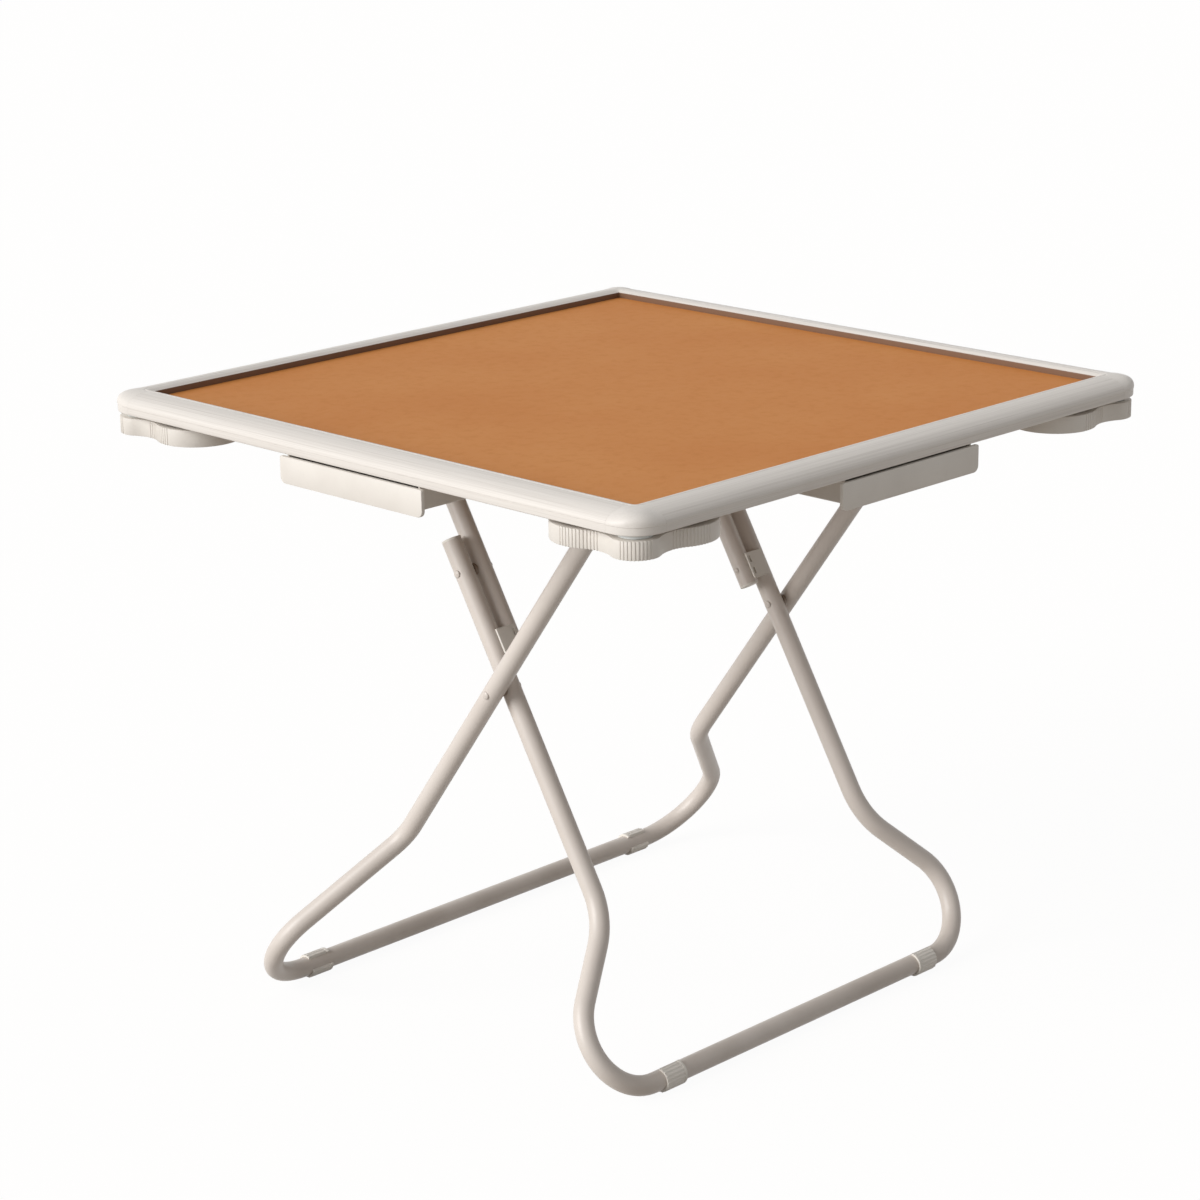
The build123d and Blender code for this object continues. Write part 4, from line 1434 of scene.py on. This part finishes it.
    def build_upper(self) -> None:
        """Makes the upper frame with its plugs, studs and lock clips."""
        side = Layer.UPPER.value
        level = -self.link_reach
        tail = self.upper_tail + level
        spots = ((-self.upper_reach, 0), (-self.upper_reach, side), (tail, side))
        body = "upper_link"
        tag = Tag("upper_tube_frame", "tube", body, "upper_frame")
        self._add_tube(tag, self.front_down, spots, (self.upper_bend,))
        self._add_plugs(Tag("upper_tube_plugs", "plug", body, "upper_frame_plugs"), tail, side, 1)
        ends = (side - self.tube - self.seat, side + self.tube - self.stud_sink)
        tag = Tag("link_stud_pair", "rivet", body, "link_studs")
        self._add_rivets(tag, level, ends, (True, False))
        self._add_lock_clips()

    def _add_plugs(self, tag: Tag, distance: float, x: float, way: int) -> None:
        """Makes the moulded plugs of two tube ends.

        Args:
            tag: The pair's name, slot, body and CAD node.
            distance: Distance of the ends below the crossing.
            x: Place of the right-hand end across the table.
            way: 1 where the plug points down the frame and -1 where it points up.
        """
        shoulder = self.tube - self.plug_round
        top = self.plug_wall + self.plug_round
        profile = [(0, -self.plug_inside), (self.tube, 0)]
        for turn in quarter_angles(EDGE_SPANS):
            rise = self.plug_round * math.sin(turn)
            profile.append((shoulder + self.plug_round * math.cos(turn), self.plug_wall + rise))
        profile += [(self.tube - self.plug_rim, top)]
        profile += [(reach, top - self.plug_sink) for reach in (self.tube - self.plug_dish, 0)]
        form = Form()
        for side in WAYS:
            end = self.point(self.front_down, distance, side * x)
            form.at(frame_of(end, (1, 0, 0), self.front_down * way)).lathe(profile, PLUG_FACETS)
        form.piece(tag, CLIP_PLASTIC)

    def _add_rivets(
        self, tag: Tag, level: float, ends: tuple[float, float], heads: tuple[bool, bool]
    ) -> None:
        """Makes a pair of rivets across the tubes.

        Args:
            tag: The pair's name, slot, body and CAD node.
            level: Distance below the crossing along the front frame.
            ends: Inner and outer end of the right-hand rivet.
            heads: Whether the inner and the outer end have a head.
        """
        inner, outer = ends
        length = outer - inner
        profile = [(0, 0), (self.rivet, 0), (self.rivet, length), (0, length)]
        places = (UPSIDE_DOWN, Matrix.Translation((0, 0, length)))
        form = Form()
        for way in WAYS:
            local = self.across(self.front_down, level, way * inner, way)
            form.at(local).lathe(profile, BORE_FACETS)
            for place, head in zip(places, heads):
                if head:
                    add_dome(form, local @ place, self.head, self.head_height)
        form.piece(tag, TUBE_COAT)

    def _add_spacers(self, tag: Tag, level: float, ends: tuple[float, float]) -> None:
        """Makes a pair of rings between the tubes.

        Args:
            tag: The pair's name, slot, body and CAD node.
            level: Distance below the crossing along the front frame.
            ends: Inner and outer face of the right-hand ring.
        """
        near, far = ends
        length = far - near
        hole, soft = self.rivet + self.spacer_play, self.spacer - self.spacer_edge
        profile = [(hole, 0), (soft, 0), (self.spacer, self.spacer_edge)]
        profile += [(self.spacer, length - self.spacer_edge), (soft, length)]
        profile += [(hole, length), (hole, 0)]
        form = Form()
        for way in WAYS:
            form.at(self.across(self.front_down, level, way * near, way))
            form.lathe(profile, HEAD_FACETS)
        form.piece(tag, RING_PLASTIC)

    def _clip_section(self, slot: float) -> list[Vector]:
        """Section of the right-hand lock clip: x outward and y to the rear.

        Args:
            slot: Depth of the slot in its front edge.

        Returns:
            The outline.
        """
        pitch = Layer.FRONT.value - Layer.UPPER.value
        reach = self.tube + self.clip_wall
        grip = self.tube + self.clip_grip
        cradle = self.tube + self.clip_cradle
        large, small = self.clip_round, self.clip_tip
        points = [flat(0, grip), flat(0, reach)]
        spans, small_spans, inner_spans = self.clip_spans
        points += arc(flat(pitch - cradle - large, reach - large), large, 90, 0, ROUND_SPANS)
        points += arc(flat(pitch, 0), cradle, 180, 270, spans)
        points += arc(flat(pitch - small, small - reach), small, 0, -90, small_spans)
        near, far = self.clip_slot
        spots = ((far, 0), (far, slot), (near, slot), (near, 0), (0, 0))
        points += [flat(x, depth - reach) for x, depth in spots] + [flat(0, -grip)]
        return points + arc(ORIGIN, grip, -90, 90, inner_spans)[1:-1]

    def _add_lock_clips(self) -> None:
        """Makes the lock clips on the tails of the upper frame and their screws."""
        start = self.clip_start - self.link_reach
        middle = self.clip_start + self.clip_length / 2 - self.link_reach
        edge, least, full = self.clip_edge, self.clip_slot_least, self.clip_slot_depth
        levels = [(edge, 0.0, least), (0.0, edge, least)]
        for low, high in self.clip_slots:
            levels += [(0.0, low, least), (0.0, low + least, full)]
            levels += [(0.0, high - least, full), (0.0, high, least)]
        levels += [(0.0, self.clip_length - edge, least), (edge, self.clip_length, least)]
        shank = [(self.clip_screw, 0), (self.clip_screw, -self.clip_screw_length)]
        screws = Form()
        for way, name in zip(WAYS, ("right", "left")):
            place = self.point(self.front_down, start, way * Layer.UPPER.value)
            form = Form().at(frame_of(place, (1, 0, 0), self.front_down))
            rows = []
            for depth, level, slot in levels:
                section = [flat(p.x * way, -p.y) for p in self._clip_section(slot)][::-way]
                rows.append(raised(inset(section, depth), level))
            form.stack(rows)
            tag = tag_of("lock_clip_" + name, "clip", "upper_link")
            form.piece(tag, CLIP_PLASTIC, self.crease)
            head_x = way * (Layer.UPPER.value - self.tube - self.seat)
            local = self.across(self.front_down, middle, head_x, -way)
            screws.at(local).lathe(shank, SHANK_FACETS)
            add_dome(screws, local, *self.clip_screw_head)
        tag = Tag("lock_clip_screw_pair", "screw", "upper_link", "lock_clip_screws")
        screws.piece(tag, TUBE_COAT)

    def _foot_outline(self, mouth: float, width: float, ribbed: bool) -> list[Vector]:
        """Section of a foot clip with x to the rear and y up.

        Args:
            mouth: Direction of the opening in degrees.
            width: Width of the opening in degrees.
            ribbed: Whether the outside has ribs.

        Returns:
            The outline, counterclockwise.
        """
        start = mouth + width / 2
        end = mouth + 360 - width / 2
        low, high = self.foot_radius - self.foot_rib, self.foot_radius
        outer_spans, inner_spans = self.foot_spans
        corners = [(-self.foot_root, low), (-self.foot_crest, high)]
        corners += [(self.foot_crest, high), (self.foot_root, low)]
        outer = [] if ribbed else arc(ORIGIN, self.foot_radius, start, end, outer_spans)
        if ribbed:
            first, last = math.ceil(start / self.foot_pitch), math.floor(end / self.foot_pitch)
            for number in range(first, last + 1):
                for share, radius in corners:
                    angle = (number + share) * self.foot_pitch
                    if start < angle < end:
                        outer.append(on_circle(ORIGIN, radius, angle))
        return outer + arc(ORIGIN, self.tube + self.foot_play, end, start, inner_spans)

    def _add_foot(self, tag: Tag, place: Matrix, way: int, mouth: float, width: float) -> None:
        """Makes one foot clip.

        Args:
            tag: The clip's name, slot, body and CAD node.
            place: Frame on the floor bar's middle line, with Z outward.
            way: 1 on the right and -1 on the left.
            mouth: Direction of the opening in degrees.
            width: Width of the opening in degrees.
        """
        form = Form().at(place)
        edge = self.foot_edge
        parts = ((True, self.foot_bead, self.foot_length), (False, 0.0, self.foot_bead))
        for ribbed, start, end in parts:
            outline = self._foot_outline(mouth, width, ribbed)
            section = [flat(p.x, p.y * way) for p in outline][::way]
            rows = ((edge, start), (0, start + edge), (0, end - edge), (edge, end))
            form.stack([raised(inset(section, depth), z) for depth, z in rows])
        for corner in form.bm.verts:
            corner.co.z = max(corner.co.z, 0)
        form.piece(tag, CLIP_PLASTIC, self.crease)

    def build_feet(self) -> None:
        """Makes the ribbed clips on the two floor bars."""
        front = (self.front_down, self.front_bar, self.front_foot)
        rear = (self.rear_down, self.rear_bar, self.rear_foot)
        mouths = ((self.front_lift, self.front_mouth), (180 - self.rear_lift, self.rear_mouth))
        for name, bar, mouth in zip(("front", "rear"), (front, rear), mouths):
            down, distance, x = bar
            for way, side in zip(WAYS, ("right", "left")):
                place = self.across(down, distance, way * (x - self.foot_length / 2), way)
                tag = tag_of(name + "_foot_clip_" + side, "clip", name + "_legs")
                self._add_foot(tag, place, way, *mouth)


@dataclass
class Fasteners:
    """Saddles and screws that hold the frames and housings to the board."""

    board: float = 733.5
    strap: float = 2.0
    flange: float = 2.5
    apart: float = 12.0
    shank: float = 1.9
    bite: float = 7.0
    head: tuple[float, float, float] = (3.9, 2.2, 2.4)

    def screws_of(self, node: str) -> list[Vector]:
        """Middle of each separate screw of a CAD node.

        Args:
            node: Name of the node.

        Returns:
            The screws' places in millimetres.
        """
        points = [v.co / MM for v in frame["nodes"][node].data.vertices]
        places: list[Vector] = []
        for point in points:
            if not any((p.xy - point.xy).length < self.apart for p in places):
                near = [q for q in points if (q.xy - point.xy).length < self.apart]
                xs, ys = [q.x for q in near], [q.y for q in near]
                places.append(flat(min(xs) + max(xs), min(ys) + max(ys)) / 2)
        return places

    def build(self) -> None:
        """Makes the screws and dresses the saddles."""
        for node, flange in (("saddle_screws", self.strap), ("housing_screws", self.flange)):
            length = self.bite + flange
            profile = [(self.shank, 0), (self.shank, -length), (0, -length)]
            form = Form()
            for place in self.screws_of(node):
                seat = frame_of((place.x, place.y, self.board - flange), (1, 0, 0), (0, 0, -1))
                form.at(seat).lathe(profile, SHANK_FACETS)
                add_cross_head(form, seat, *self.head)
            form.piece(Tag(node + "_set", "screw", "table", node), ZINC)
        for name in frame["nodes"]:
            if name.startswith("saddle_block"):
                dress(name, CLIP_PLASTIC)
        dress("saddle_straps", TUBE_COAT)


@dataclass
class Studio:
    """Pale floor, soft light and the camera."""

    lens: float = 96.48
    sensor: float = 36.0
    place: Place = (-2.6995, -2.6242, 1.6056)
    ahead: Place = (0.6810, 0.6743, -0.2859)
    right: Place = (0.7006, -0.7135, -0.0140)
    key_strength: float = 2.85
    key_spread: float = 40.0
    key_from: Place = (-0.87, 0.28, 0.40)
    sky_strength: float = 0.35
    white: Colour = (1.0, 1.0, 1.0, 1.0)
    floor: Colour = tone(188, 181, 173)
    floor_haze: Colour = tone(180, 173, 165)
    floor_glow: float = 1.1
    floor_share: float = 0.86
    floor_reach: float = 12.0
    floor_drop: float = 0.0002

    def build_camera(self) -> None:
        """Makes the camera from its place and directions."""
        ahead = Vector(self.ahead).normalized()
        right = Vector(self.right)
        right = (right - ahead * right.dot(ahead)).normalized()
        up = right.cross(ahead)
        data = bpy.data.cameras.new("camera")
        data.lens = self.lens
        data.sensor_width = self.sensor
        data.sensor_fit = "HORIZONTAL"
        camera = bpy.data.objects.new("camera", data)
        turn = Matrix((right, up, -ahead)).transposed().to_4x4()
        camera.matrix_world = Matrix.Translation(Vector(self.place)) @ turn
        bpy.context.scene.collection.objects.link(camera)
        bpy.context.scene.camera = camera

    def build_light(self) -> None:
        """Makes the soft key light and the world, which is dim but looks white."""
        data = bpy.data.lights.new("key", "SUN")
        data.energy = self.key_strength
        data.angle = math.radians(self.key_spread)
        key = bpy.data.objects.new("key", data)
        key.rotation_mode = "QUATERNION"
        key.rotation_quaternion = Vector(self.key_from).to_track_quat("Z", "Y")
        bpy.context.scene.collection.objects.link(key)
        world = bpy.data.worlds.new("studio")
        nodes = Nodes(world)
        skies = []
        for strength in (self.sky_strength, 1.0):
            inputs = {"Color": self.white, "Strength": strength}
            skies.append(nodes.add("ShaderNodeBackground", None, inputs).outputs[0])
        nodes.mix(nodes.seen(), *skies, "ShaderNodeOutputWorld")
        bpy.context.scene.world = world
        bpy.context.scene.view_settings.view_transform = "Standard"

    def build_floor(self) -> None:
        """Makes the plain pale floor."""
        mesh = bpy.data.meshes.new("studio_floor")
        corners = [flat(x, y) * self.floor_reach for x, y in QUADRANTS]
        mesh.from_pydata(corners, [], [(0, 1, 2, 3)])
        mesh.materials.append(self._floor_material())
        floor = bpy.data.objects.new("studio_floor", mesh)
        bpy.context.scene.collection.objects.link(floor)
        floor.location.z = -self.floor_drop

    def _floor_material(self) -> Material:
        """A pale floor that the camera sees as nearly white, with the table's soft shadow.

        Returns:
            The material.
        """
        paint = Paint("studio_floor")
        colour = paint.layers(self.floor, (paint.noise(3, 2) * 0.2, self.floor_haze))
        matt = paint.add("ShaderNodeBsdfDiffuse", None, {"Color": colour}).outputs[0]
        glow = paint.add("ShaderNodeEmission", None, {"Strength": self.floor_glow}).outputs[0]
        paint.mix(paint.seen() * self.floor_share, matt, glow, "ShaderNodeOutputMaterial")
        return paint.material


def main() -> None:
    """Builds every sub-assembly in order."""
    logging.basicConfig(level=logging.INFO, format="%(message)s")
    rim = Rim()
    rim.build_rails()
    rim.build_caps()
    PlayingField().build()
    tray = CupTray()
    for corner in CORNERS:
        tray.build(corner)
    tray.build_pivots()
    drawer = Drawer()
    for turns, name in enumerate(SIDES):
        drawer.build(name, turns)
    legs = Legs()
    legs.build_rear()
    legs.build_front()
    legs.build_upper()
    legs.build_feet()
    Fasteners().build()
    studio = Studio()
    studio.build_camera()
    studio.build_light()
    studio.build_floor()


if __name__ == "__main__":
    main()
